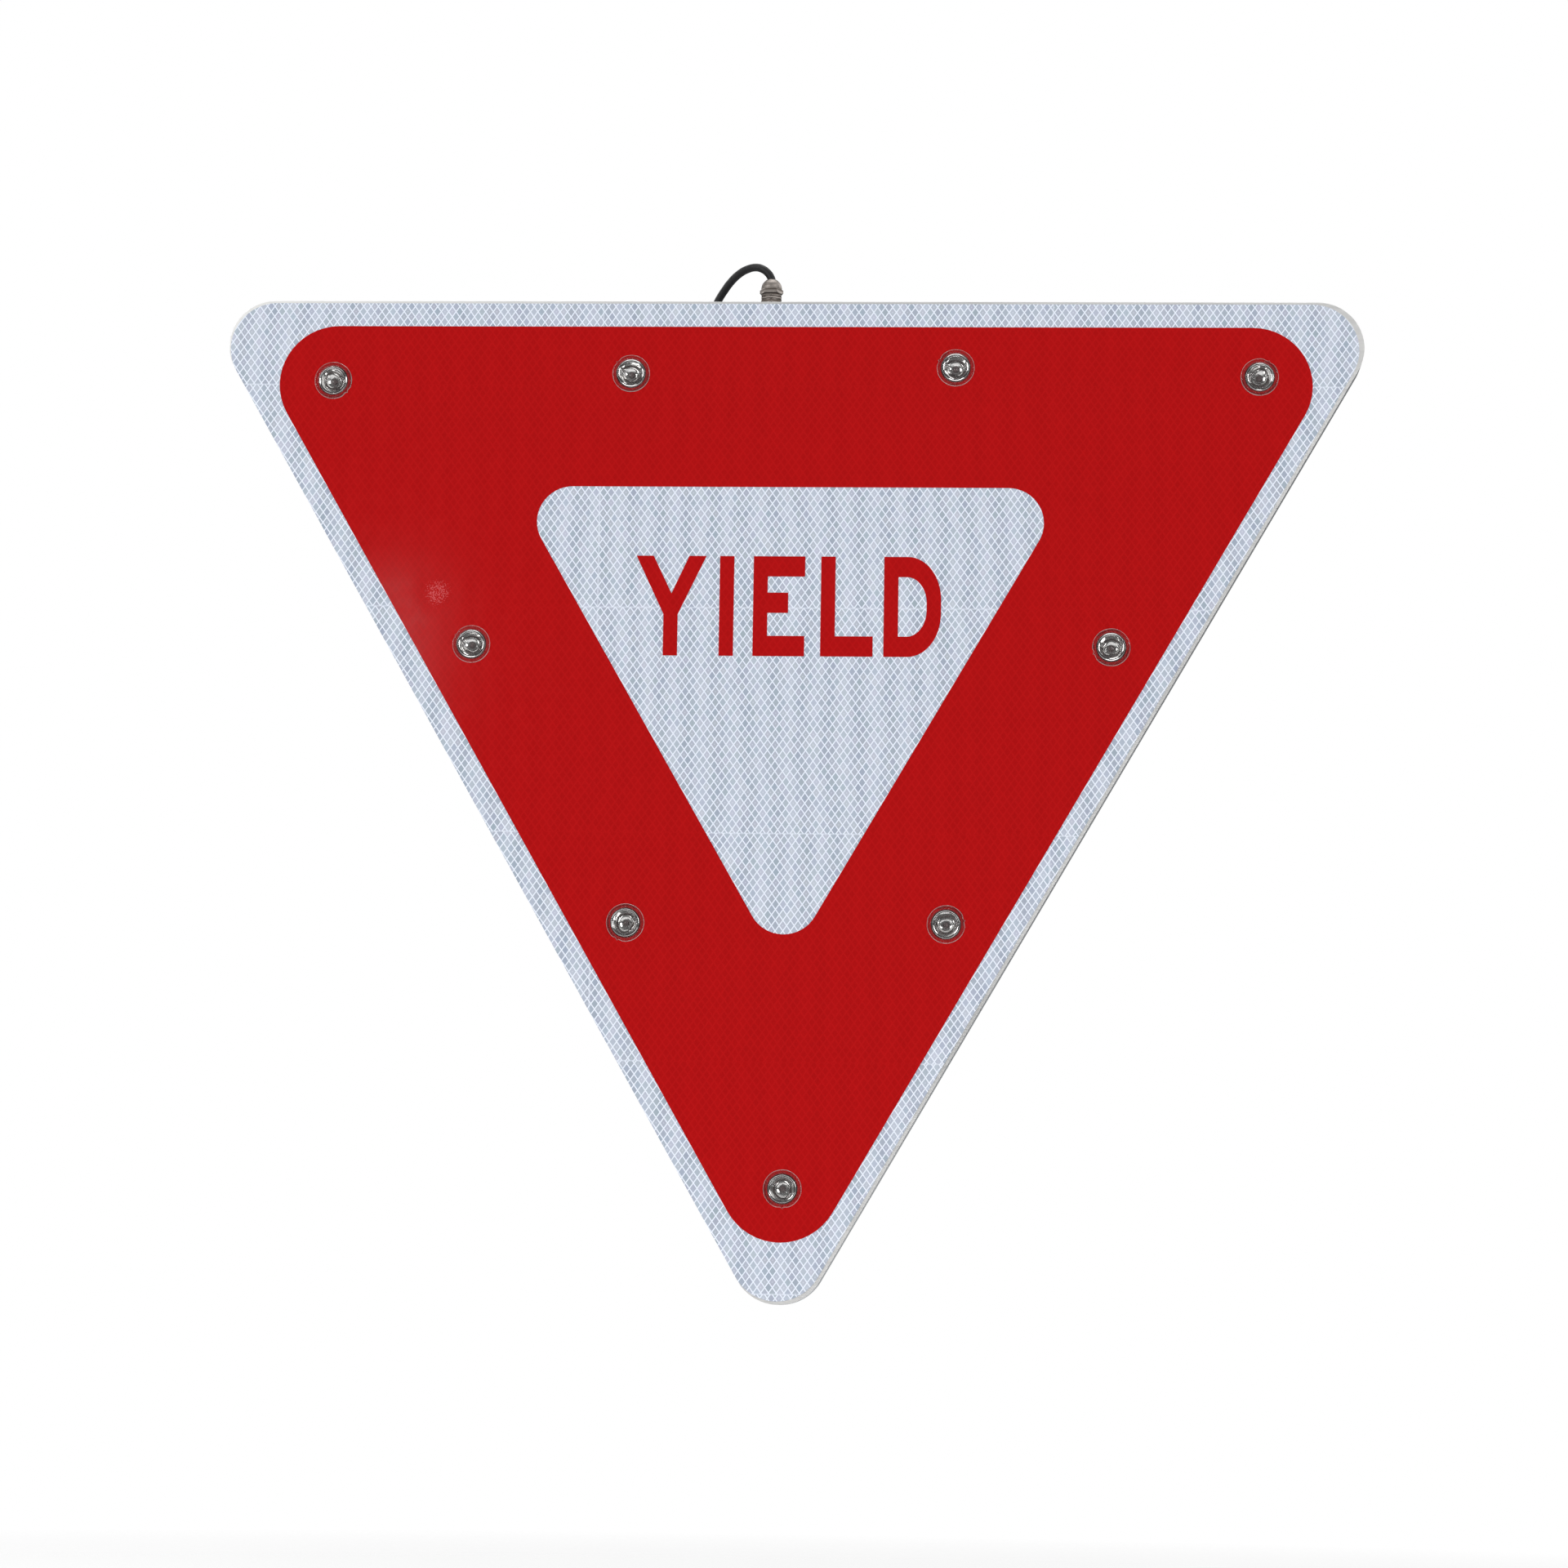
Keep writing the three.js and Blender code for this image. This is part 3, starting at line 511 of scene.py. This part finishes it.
def turned(rings, steps=72):
    """Rings of (reach, along) turned about z.

    A reach is a number, 0 on the axis, or a function of the angle.
    """
    points, faces, rows = [], [], []
    for reach, along in rings:
        if reach == 0:
            rows.append([len(points)] * steps)
            points.append((0, 0, along))
            continue
        rows.append(list(range(len(points), len(points) + steps)))
        for i in range(steps):
            angle = 2 * math.pi * i / steps
            r = reach(angle) if callable(reach) else reach
            points.append((r * math.cos(angle), r * math.sin(angle), along))
    loops = list(zip(rows, rows[1:]))
    if rings[0][0] != 0:
        loops.append((rows[-1], rows[0]))
    for one, next_one in loops:
        for i in range(steps):
            j = (i + 1) % steps
            face = []
            for corner in (one[i], one[j], next_one[j], next_one[i]):
                if corner not in face:
                    face.append(corner)
            faces.append(face)
    return points, faces


def hexagonal(flats, corner_r):
    """The reach of a hexagon of that width across its flats, with its corners turned down to corner_r."""
    def reach(angle):
        off_flat = (angle + math.pi / 6) % (math.pi / 3) - math.pi / 6
        return min(corner_r, flats / 2 / math.cos(off_flat))
    return reach


def fluted(radius, depth, count):
    """The reach of a round grip with that many shallow flutes."""
    return lambda angle: radius - depth * max(0.0, math.cos(count * angle)) ** 2


def swept(sections):
    """Closed sections of equal numbers of points, joined in a row and closed at both ends."""
    n = len(sections[0])
    points = [p for section in sections for p in section]
    faces = [list(range(n))[::-1], list(range(len(points) - n, len(points)))]
    for k in range(len(sections) - 1):
        for i in range(n):
            j = (i + 1) % n
            faces.append([k * n + i, k * n + j, (k + 1) * n + j, (k + 1) * n + i])
    return points, faces


def looped(outer, inner, start, length):
    """A band between two outlines in y and z of equal numbers of points, as long as length along x."""
    n = len(outer)
    points = [(x, y, z) for x in (start, start + length) for y, z in list(outer) + list(inner)]
    faces = []
    for i in range(n):
        j = (i + 1) % n
        faces.append([i, j, n + j, n + i])
        faces.append([2 * n + i, 3 * n + i, 3 * n + j, 2 * n + j])
        faces.append([i, 2 * n + i, 2 * n + j, j])
        faces.append([n + i, n + j, 3 * n + j, 3 * n + i])
    return points, faces


def joined(*shapes):
    points, faces = [], []
    for more_points, more_faces in shapes:
        faces += [[len(points) + i for i in face] for face in more_faces]
        points += more_points
    return points, faces


SIDEWAYS = 0.65                    # cosine of the angle to the front beyond which a face looks sideways
ALONG_X = Matrix(((0, 0, 1), (1, 0, 0), (0, 1, 0)))
ALONG_Y = Matrix(((1, 0, 0), (0, 0, 1), (0, -1, 0)))


def laid(shape, matrix):
    points, faces = shape
    return [tuple(matrix @ Vector(p)) for p in points], faces


def add_piece(name, shape, place, slot, replaces=(), sharp_degrees=35, bevel=0.0, look=None, edge=None):
    """Makes a shape into a piece of the sign, at a place in the sign's millimetres.

    Its material is its slot's unless look names another, and edge names one for the faces that look
    sideways, where clear plastic is seen through its thickness and a pale tone is painted on as its rim
    highlight.
    """
    points, faces = shape
    mesh = bpy.data.meshes.new(name)
    mesh.from_pydata([MM * Vector(p) for p in points], [], faces)
    cleaned = bmesh.new()
    cleaned.from_mesh(mesh)
    bmesh.ops.recalc_face_normals(cleaned, faces=cleaned.faces)
    cleaned.to_mesh(mesh)
    cleaned.free()
    mesh.shade_smooth()
    mesh.set_sharp_from_angle(angle=math.radians(sharp_degrees))
    mesh.materials.append(MATERIALS[look or slot])
    if edge:
        mesh.materials.append(MATERIALS[edge])
        for face in mesh.polygons:
            face.material_index = int(abs(face.normal.y) < SIDEWAYS)
    piece = bpy.data.objects.new(name, mesh)
    bpy.context.scene.collection.objects.link(piece)
    piece.location = at(*place)
    if bevel:
        rounding = piece.modifiers.new("edges", "BEVEL")
        rounding.width = bevel * MM
        rounding.segments = 2
        rounding.limit_method = "ANGLE"
        rounding.angle_limit = math.radians(50)
        rounding.harden_normals = True
    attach(piece, "root")
    if replaces:
        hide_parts(*replaces)
    return piece


# ---- Supply lead --------------------------------------------------------------------------------

# From the mouth of the gland, over the top edge and down behind the cover.
LEAD_ROUTE = [
    (GLAND_X, GLAND_Y, GLAND_MOUTH_Z + 0.3),
    (-18.5, 15.1, 287),
    (-20.7, 15.5, 290.3),
    (-25, 16.5, 293.7),
    (-30.1, 18.5, 295.4),
    (-36.6, 21.5, 294.8),
    (-43.1, 25, 292.1),
    (-49.4, 28.5, 287.1),
    (-55.2, 31.8, 280.2),
    (-60.1, 34.6, 272.8),
    (-64.3, 37, 263.9),
    (-67.7, 39.2, 255.1),
    (-70.1, 41.3, 246.4),
    (-71.6, 43, 238),
    (-72, 43.9, 230),
    (-72, BACK_LAYER_Y, 224.5),
]
COIL_BOTTOM_Z = COIL_Z - COIL_OUTER_TURN_R
TAIL_ROUTE = [
    (-10.8, FRONT_LAYER_Y, COIL_BOTTOM_Z),
    (-4, FRONT_LAYER_Y, COIL_BOTTOM_Z + 0.6),
    (2, FRONT_LAYER_Y, COIL_BOTTOM_Z + 1.9),
    (9, FRONT_LAYER_Y, CONNECTOR_Z - 0.5),
    (CONNECTOR_X - 0.3, FRONT_LAYER_Y, CONNECTOR_Z),
]
# Angles along the winding, in degrees, where it changes its turn or its layer.
COIL_START, COIL_END, COIL_STEP = 180, 1350, 15
NARROWING = (400, 500)
COMING_FORWARD = (670, 760)
WIDENING = (1000, 1050)


def eased(value, start, end):
    share = min(1.0, max(0.0, (value - start) / (end - start)))
    return share * share * (3 - 2 * share)


def coil_route():
    """The turns of the coil: round the back, in to the small turn, forward, and out at its foot."""
    route = []
    for degrees in range(COIL_START, COIL_END + 1, COIL_STEP):
        narrowed = eased(degrees, *NARROWING) - eased(degrees, *WIDENING)
        radius = COIL_OUTER_TURN_R - narrowed * (COIL_OUTER_TURN_R - COIL_INNER_TURN_R)
        forward = eased(degrees, *COMING_FORWARD)
        y = BACK_LAYER_Y - forward * (BACK_LAYER_Y - FRONT_LAYER_Y)
        angle = math.radians(degrees)
        route.append((COIL_X + radius * math.cos(angle), y, COIL_Z + radius * math.sin(angle)))
    return route


def lead_points():
    """The whole route in metres, with a first point down inside the gland."""
    inside = (GLAND_X, GLAND_Y, GLAND_MOUTH_Z - 4)
    return [at(*point) for point in [inside, *LEAD_ROUTE, *coil_route(), *TAIL_ROUTE]]


def add_lead(connector, tie):
    points = lead_points()
    curve = bpy.data.curves.new("supply_lead", "CURVE")
    curve.dimensions = "3D"
    curve.resolution_u = 6
    curve.bevel_depth = CORD_R * MM
    curve.bevel_resolution = 6
    curve.use_fill_caps = True
    spline = curve.splines.new("BEZIER")
    spline.bezier_points.add(len(points) - 1)
    for knot, point in zip(spline.bezier_points, points):
        knot.co = point
        knot.handle_left_type = "AUTO"
        knot.handle_right_type = "AUTO"
    curve.materials.append(MATERIALS["cord_jacket"])
    lead = bpy.data.objects.new("supply_lead", curve)
    bpy.context.scene.collection.objects.link(lead)
    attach(lead, "root")
    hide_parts("lead_run", "lead_coil", "lead_tail")


def add_connector():
    """Inline connector: ribbed boot, fluted coupling ring, body and its transport cap."""
    rings = [(0, -0.3), (3.6, -0.3), (4.0, 0.3)]
    for i in range(4):
        along = 1.2 + 2.0 * i
        radius = 4.1 + 0.25 * i
        rings += [(radius, along), (radius + 0.35, along + 0.35)]
        rings += [(radius + 0.35, along + 1.0), (radius, along + 1.3)]
    grip = fluted(7.0, 0.55, 18)
    rings += [(5.2, 9.6), (6.4, 10.0), (grip, 10.8), (grip, 23.2), (6.4, 24.0), (6.0, 24.3), (6.2, 24.9)]
    rings += [(6.2, 37.6), (5.9, 38.2), (6.3, 38.8), (6.8, 39.3)]
    rings += [(6.8, 41.0), (6.5, 41.3), (6.5, 42.0), (6.8, 42.3), (6.8, 48.2), (6.3, 49.0), (0, 49.0)]
    place = (CONNECTOR_X, FRONT_LAYER_Y, CONNECTOR_Z)
    shape = laid(turned(rings, 108), ALONG_X)
    return add_piece("inline_connector", shape, place, "black_nylon", ["lead_connector"])


TIE_WIDTH = 4.8
TIE_THICK = 1.2
TIE_FRONT_Y = 32.2
TIE_BACK_Y = 48.7
TIE_HALF = 6.3                     # from the middle of the bundle to the inside of the band


def rectangle(a0, a1, b0, b1, radius, steps=5):
    return filleted([(a0, b0), (a1, b0), (a1, b1), (a0, b1)], radius, steps)


def prism_x(outline_yz, start, length):
    return swept([[(x, y, z) for y, z in outline_yz] for x in (start, start + length)])


def add_tie():
    """A cable tie round the coil: the band, its head with a slot, and the clipped end of the strap."""
    outer = rectangle(TIE_FRONT_Y, TIE_BACK_Y, -TIE_HALF - TIE_THICK, TIE_HALF + TIE_THICK, 3.2)
    inner = rectangle(TIE_FRONT_Y + TIE_THICK, TIE_BACK_Y - TIE_THICK, -TIE_HALF, TIE_HALF, 2.0)
    band = looped(outer, inner, -TIE_WIDTH / 2, TIE_WIDTH)
    top = TIE_HALF + TIE_THICK
    head_outer = rectangle(FRONT_LAYER_Y + 1, FRONT_LAYER_Y + 6.5, top - 0.6, top + 3.3, 0.8)
    head = prism_x(head_outer, -3.6, 7.2)
    strap_outer = rectangle(FRONT_LAYER_Y + 3.2, FRONT_LAYER_Y + 4.4, top + 3.3, top + 9.5, 0.3)
    strap = prism_x(strap_outer, -2.2, 4.4)
    bundle_r = (COIL_OUTER_TURN_R + COIL_INNER_TURN_R) / 2
    place = (COIL_X, 0, COIL_Z + bundle_r)
    tie = joined(band, head, strap)
    return add_piece("cable_tie", tie, place, "black_nylon", ["lead_tie"], bevel=0.25)


# ---- Lamps --------------------------------------------------------------------------------------

BORDER_X = 0.45                    # the border and its lamps sit a little off the panel's centre
BORDER_Z = -1.3
LAMPS = [
    (-351, 203), (-123, 209), (123.5, 214), (352.5, 207.5),
    (-240, 0), (242, 0.5),
    (-119, -210), (120.5, -209),
    (1.5, -406.5),
]
LENS_TURNS = [320, 140, 155, 60, 150, 200, 245, 12, 270]     # degrees to each lens's moulding gate
LENS_STEPS = 96
GATE_FLAT = 0.7                    # how much the flat at the gate takes off the flange
GATE_STUB = 1.3                    # how far the gate's stub stands out of the flat
GATE_SPREAD = 0.045                # radians off the gate's middle where the stub has sunk to a third
CUP_TILT = 3                       # degrees, each a quarter turn from its own lens's gate
BOWL_FLOOR = 5.6                   # depth of the parabola that the bowl follows up to its step
BOWL_STEP = 4.1                    # and of the one beyond it
COLLAR_R = 12.2
COLLAR_RISE = 0.2


def gated_flange(radius):
    """A round flange with a flat cut at angle 0, and the stub of the moulding gate on it."""
    flat = radius - GATE_FLAT

    def reach(angle):
        off = (angle + math.pi) % (2 * math.pi) - math.pi
        level = min(radius, flat / max(0.2, math.cos(off)))
        return level + GATE_STUB * math.exp(-(off / GATE_SPREAD) ** 2)
    return reach


def lens_shape():
    rim, base = LENS_FLANGE_R, LENS_BASE_R
    flange, bevel, top = gated_flange(rim), gated_flange(rim - 0.42), gated_flange(rim - 0.75)
    outside = [
        (0, -7.1), (1.6, -7.03), (3.2, -6.8), (4.8, -6.4), (6.4, -5.8), (7.8, -5.05), (8.6, -4.4),
        (9.0, -4.05), (9.4, -3.85), (base - 0.6, -3.75), (base - 0.2, -3.6), (base, -3.4),
        (base, -2.4), (base + 0.3, -2.1), (base + 0.8, -2.0), (rim - 1.4, -2.0), (top, -1.95),
        (bevel, -1.78), (flange, -1.25), (flange, FILM_FRONT_Y),
    ]
    inside = [
        (COLLAR_R + 0.1, FILM_FRONT_Y), (COLLAR_R + 0.1, FILM_FRONT_Y - COLLAR_RISE - 0.05),
        (base, FILM_FRONT_Y - COLLAR_RISE - 0.05), (base, 10), (base - 0.5, 10), (base - 0.5, -2.6),
        (9.6, -3.0), (8.4, -3.2), (7.0, -4.0), (4.5, -4.9), (2.2, -5.4), (0, -5.55),
    ]
    return turned([*outside, *inside], LENS_STEPS)


def lobed(radius):
    """The reach of a bowl that isn't quite round, so that each lamp catches the light in its own way."""
    return lambda angle: radius * (1 + 0.05 * math.cos(2 * angle) + 0.03 * math.cos(3 * angle + 1))


def bowl_rings(radii, floor):
    """Lobed rings of a parabola whose bottom lies at the depth called floor."""
    return [(lobed(r), floor - 6.6 * ((r - 2.2) / 7.0) ** 2) for r in radii]


def cup_shape():
    """Silvered reflector: a stepped, slightly lobed parabola under a plain rolled rim."""
    bowl = bowl_rings((3.4, 4.2, 5.0, 5.8, 6.3), BOWL_FLOOR)
    step = [(lobed(6.6), 2.6)]
    upper = bowl_rings((7.1, 7.8, 8.3), BOWL_STEP)
    rim = [(9.0, -2.2), (9.25, -2.3), (9.3, -1.9), (9.3, -0.6), (9.9, -0.6), (9.9, -2.3), (10.2, -2.5)]
    back = [(10.5, -2.3), (10.5, 0), (9.6, 0.3), (9.6, 11), (0, 11)]
    flat = [(0, BOWL_FLOOR), (3.3, BOWL_FLOOR)]
    return turned([*flat, *bowl, *step, *upper, *rim, *back], LENS_STEPS)


def collar_shape():
    """Ring of film under the flange, which finishes the edge of the lamp's hole."""
    top = FILM_FRONT_Y - COLLAR_RISE
    inner = LENS_BASE_R + 0.05
    section = [(inner, FILM_FRONT_Y + 0.2), (inner, top), (COLLAR_R - 0.1, top), (COLLAR_R, FILM_FRONT_Y)]
    return turned([*section, (COLLAR_R - 0.1, FILM_FRONT_Y + 0.2)], LENS_STEPS)


def seal_shape():
    """Black ring pressed between the reflector's rim and the lens."""
    angles = [k * math.pi / 5 for k in range(10)]
    return turned([(9.6 + 0.32 * math.cos(a), -1.5 - 0.5 * math.sin(a)) for a in angles], LENS_STEPS)


def chip_shape():
    """Square light-emitting package on a round dark carrier."""
    carrier = turned([(0, 5.3), (2.5, 5.3), (2.7, 5.4), (2.7, 5.7), (0, 5.7)], 48)
    square = rectangle(-1.6, 1.6, -1.6, 1.6, 0.3)
    sections = [[(x * s, y * s, z) for x, y in square] for s, z in ((1, 5.4), (1, 4.3), (0.85, 4.1))]
    return joined(carrier, swept(sections))


def droplet_shape():
    """Clear dome cast over the chip."""
    angles = [math.radians(degrees) for degrees in range(10, 91, 10)]
    dome = [(2.6 * math.sin(a), 5.2 - 2.3 * math.cos(a)) for a in angles]
    return turned([(0, 2.9), *dome, (0, 5.25)], 48)


def add_lamps():
    lens, collar, cup, seal = lens_shape(), collar_shape(), cup_shape(), seal_shape()
    chip, droplet = chip_shape(), droplet_shape()
    for i, ((x, z), degrees) in enumerate(zip(LAMPS, LENS_TURNS), 1):
        turn = Matrix.Rotation(math.radians(-degrees), 3, "Y") @ ALONG_Y
        tilted = turn @ Matrix.Rotation(math.radians(CUP_TILT), 3, "X")
        place = (x + BORDER_X, 0, z + BORDER_Z)
        lens_nodes = [f"lamp_lens_{i}"]
        add_piece(f"lens_{i}", laid(lens, turn), place, "clear_lens", lens_nodes, 28, edge="clear_edge_painted_highlight")
        add_piece(f"film_collar_{i}", laid(collar, turn), place, "red_film")
        add_piece(f"reflector_{i}", laid(cup, tilted), place, "silvered_cup", [f"lamp_module_{i}"], 28)
        add_piece(f"lens_seal_{i}", laid(seal, turn), place, "black_rubber")
        add_piece(f"chip_{i}", laid(chip, turn), place, "circuit_board", look="emitter")
        add_piece(f"droplet_{i}", laid(droplet, turn), place, "clear_lens")


# ---- Gland --------------------------------------------------------------------------------------

WASHER_TOP = INRADIUS + 1.2
BODY_TOP = WASHER_TOP + 7.6
NUT_BOTTOM = BODY_TOP + 0.3
NUT_HEX_TOP = NUT_BOTTOM + 4


def gland_body_shape():
    """Hexagonal body with rounded ends and two turned grooves, hollow over its stem."""
    corners = [hexagonal(15, r) for r in (7.65, 8.05, 8.4, 8.66)]
    rises = [0.25, 0.55, 0.85, 1.15]
    rings = [(5.2, WASHER_TOP), (7.4, WASHER_TOP)]
    rings += [(reach, WASHER_TOP + rise) for reach, rise in zip(corners, rises)]
    for groove in (BODY_TOP - 4.9, BODY_TOP - 2.7):
        rings += [(corners[3], groove), (6.9, groove + 0.3)]
        rings += [(6.9, groove + 0.9), (corners[3], groove + 1.2)]
    rings += [(reach, BODY_TOP - rise) for reach, rise in reversed(list(zip(corners, rises)))]
    rings += [(7.4, BODY_TOP), (6.2, BODY_TOP)]
    seat = GLAND_MOUTH_Z - 5.4
    tail = INRADIUS - 10
    rings += [(6.2, seat), (3.4, seat), (3.4, tail), (6.2, tail), (6.2, WASHER_TOP - 0.1)]
    return turned(rings, 96)


def cap_nut_shape():
    """Hexagonal skirt under a stepped dome, with a corner of the hexagon sideways."""
    rim = [(hexagonal(15.6, r), rise) for r, rise in ((8.0, 0.2), (8.5, 0.5), (9.0, 0.9))]
    rings = [(6.5, NUT_BOTTOM), (7.5, NUT_BOTTOM)]
    rings += [(reach, NUT_BOTTOM + rise) for reach, rise in rim]
    rings += [(reach, NUT_HEX_TOP - rise) for reach, rise in reversed(rim)]
    dome = [
        (7.9, 0), (7.8, 0.2), (7.9, 0.5), (7.9, 1.3), (7.65, 1.5), (7.65, 2.4), (7.5, 2.55), (7.4, 3.3),
        (7.05, 4.1), (6.5, 4.9), (5.8, 5.75), (5.0, 6.5),
    ]
    rings += [(reach, NUT_HEX_TOP + rise) for reach, rise in dome]
    mouth = [(4.3, 0), (3.8, 0), (3.4, 0.4), (3.4, 1.6), (6.5, 3.4)]
    rings += [(reach, GLAND_MOUTH_Z - depth) for reach, depth in mouth]
    return laid(turned(rings, 96), Matrix.Rotation(math.radians(30), 3, "Z"))


def add_gland():
    place = (GLAND_X, GLAND_Y, 0)
    section = filleted([(6.5, INRADIUS), (7.6, INRADIUS), (7.6, WASHER_TOP), (6.5, WASHER_TOP)], 0.35)
    add_piece("sealing_washer", turned(section), place, "black_rubber", ["gland_washer"])
    add_piece("gland_hex_body", gland_body_shape(), place, "nickel_plate", ["gland_body"], 25)
    add_piece("gland_cap_nut", cap_nut_shape(), place, "nickel_plate", ["gland_dome_nut"], 30)


# ---- Side channels, back cover screws, rails and rivets ------------------------------------------

def channel_shape():
    """The top side channel with its right-hand corner: one C section drawn along the wall."""
    wall, flange, front, back = FRAME_WALL, FRAME_FLANGE, PANEL_THICK, FRAME_BACK_Y
    section = filleted([
        (0, front), (flange, front), (flange, front + wall), (wall, front + wall),
        (wall, back - wall), (flange, back - wall), (flange, back), (0, back),
    ], 0.7)
    reach = math.sqrt(3) * (INRADIUS - FACE_CORNER_R)
    centre_z = INRADIUS - FACE_CORNER_R
    stations = [(-reach + 0.3, centre_z, 90)]
    stations += [(reach, centre_z, 90 - 5 * k) for k in range(25)]
    sections = []
    for x, z, degrees in stations:
        out = Vector((math.cos(math.radians(degrees)), math.sin(math.radians(degrees))))
        ring = []
        for inward, y in section:
            offset = (FACE_CORNER_R - inward) * out
            ring.append((x + offset.x, y, z + offset.y))
        sections.append(ring)
    return swept(sections)


def add_channels():
    channel = channel_shape()
    for name, degrees in (("top", 0), ("right", 120), ("left", -120)):
        turn = Matrix.Rotation(math.radians(degrees), 3, "Y")
        shape = laid(channel, turn)
        add_piece(f"side_channel_{name}", shape, (0, 0, 0), "mill_aluminium", [f"frame_{name}"], 30)


def rail_shape(length):
    half, inner, slot = RAIL_HEIGHT / 2, RAIL_HEIGHT / 2 - RAIL_WALL, RAIL_SLOT / 2
    front, back = COVER_BACK_Y, COVER_BACK_Y + RAIL_DEPTH
    web, lip = front + RAIL_WALL, back - RAIL_WALL
    section = filleted([
        (front, -half), (back, -half), (back, -slot), (lip, -slot), (lip, -inner), (web, -inner),
        (web, inner), (lip, inner), (lip, slot), (back, slot), (back, half), (front, half),
    ], 0.8)
    return prism_x(section, -length / 2, length)


def rivet_shape():
    """Blind rivet: domed head with the broken end of its mandrel in the middle."""
    seat = COVER_BACK_Y + RAIL_WALL
    return turned([
        (0, seat + 1.3), (1.2, seat + 1.35), (1.35, seat + 1.1), (1.6, seat + 1.1), (1.8, seat + 2.25),
        (2.2, seat + 2.5), (3.4, seat + 2.3), (4.8, seat + 1.75), (5.8, seat + 1.0), (6.4, seat + 0.35),
        (6.5, seat + 0.1), (6.4, seat), (3.2, seat), (3.2, seat - 3), (0, seat - 3),
    ], 48)


def add_rails():
    rivet = laid(rivet_shape(), ALONG_Y)
    for name, (z, length) in RAILS.items():
        place = (0, 0, z)
        rail = rail_shape(length)
        add_piece(f"mounting_rail_{name}", rail, place, "mill_aluminium", [f"rail_{name}"], bevel=0.4)
        for side, sign in (("left", -1), ("right", 1)):
            x = sign * (length / 2 - RIVET_FROM_END)
            nodes = [f"rail_rivet_{name}_{side}"]
            add_piece(f"blind_rivet_{name}_{side}", rivet, (x, 0, z), "rivet_steel", nodes)


SCREW_INSET = 9
SCREWS_PER_SIDE = 5


def screw_shape():
    """Button-head screw with a hexagon socket, standing on the back cover."""
    socket = hexagonal(3.0, 9)
    profile = [
        (0, 0.5), (socket, 0.5), (socket, 1.8), (2.0, 2.05), (2.8, 1.9), (3.6, 1.5), (4.2, 0.9),
        (4.4, 0.4), (4.4, 0), (0, 0),
    ]
    return turned([(reach, COVER_BACK_Y + rise) for reach, rise in profile], 48)


def add_cover_screws():
    screw = laid(screw_shape(), ALONG_Y)
    half = math.sqrt(3) * (INRADIUS - FACE_CORNER_R)
    number = 0
    for turn in (0, 120, 240):
        turned_round = Matrix.Rotation(math.radians(turn), 3, "Y")
        for k in range(SCREWS_PER_SIDE):
            along = half * (2 * k / (SCREWS_PER_SIDE - 1) - 1)
            place = turned_round @ Vector((along, 0, INRADIUS - COVER_EDGE - SCREW_INSET))
            number += 1
            add_piece(f"cover_screw_{number}", screw, tuple(place), "rivet_steel", sharp_degrees=30)


# ---- The whole sign -----------------------------------------------------------------------------

add_studio()
add_lead(add_connector(), add_tie())
dress_cad_nodes()
add_lamps()
add_gland()
add_channels()
add_rails()
add_cover_screws()
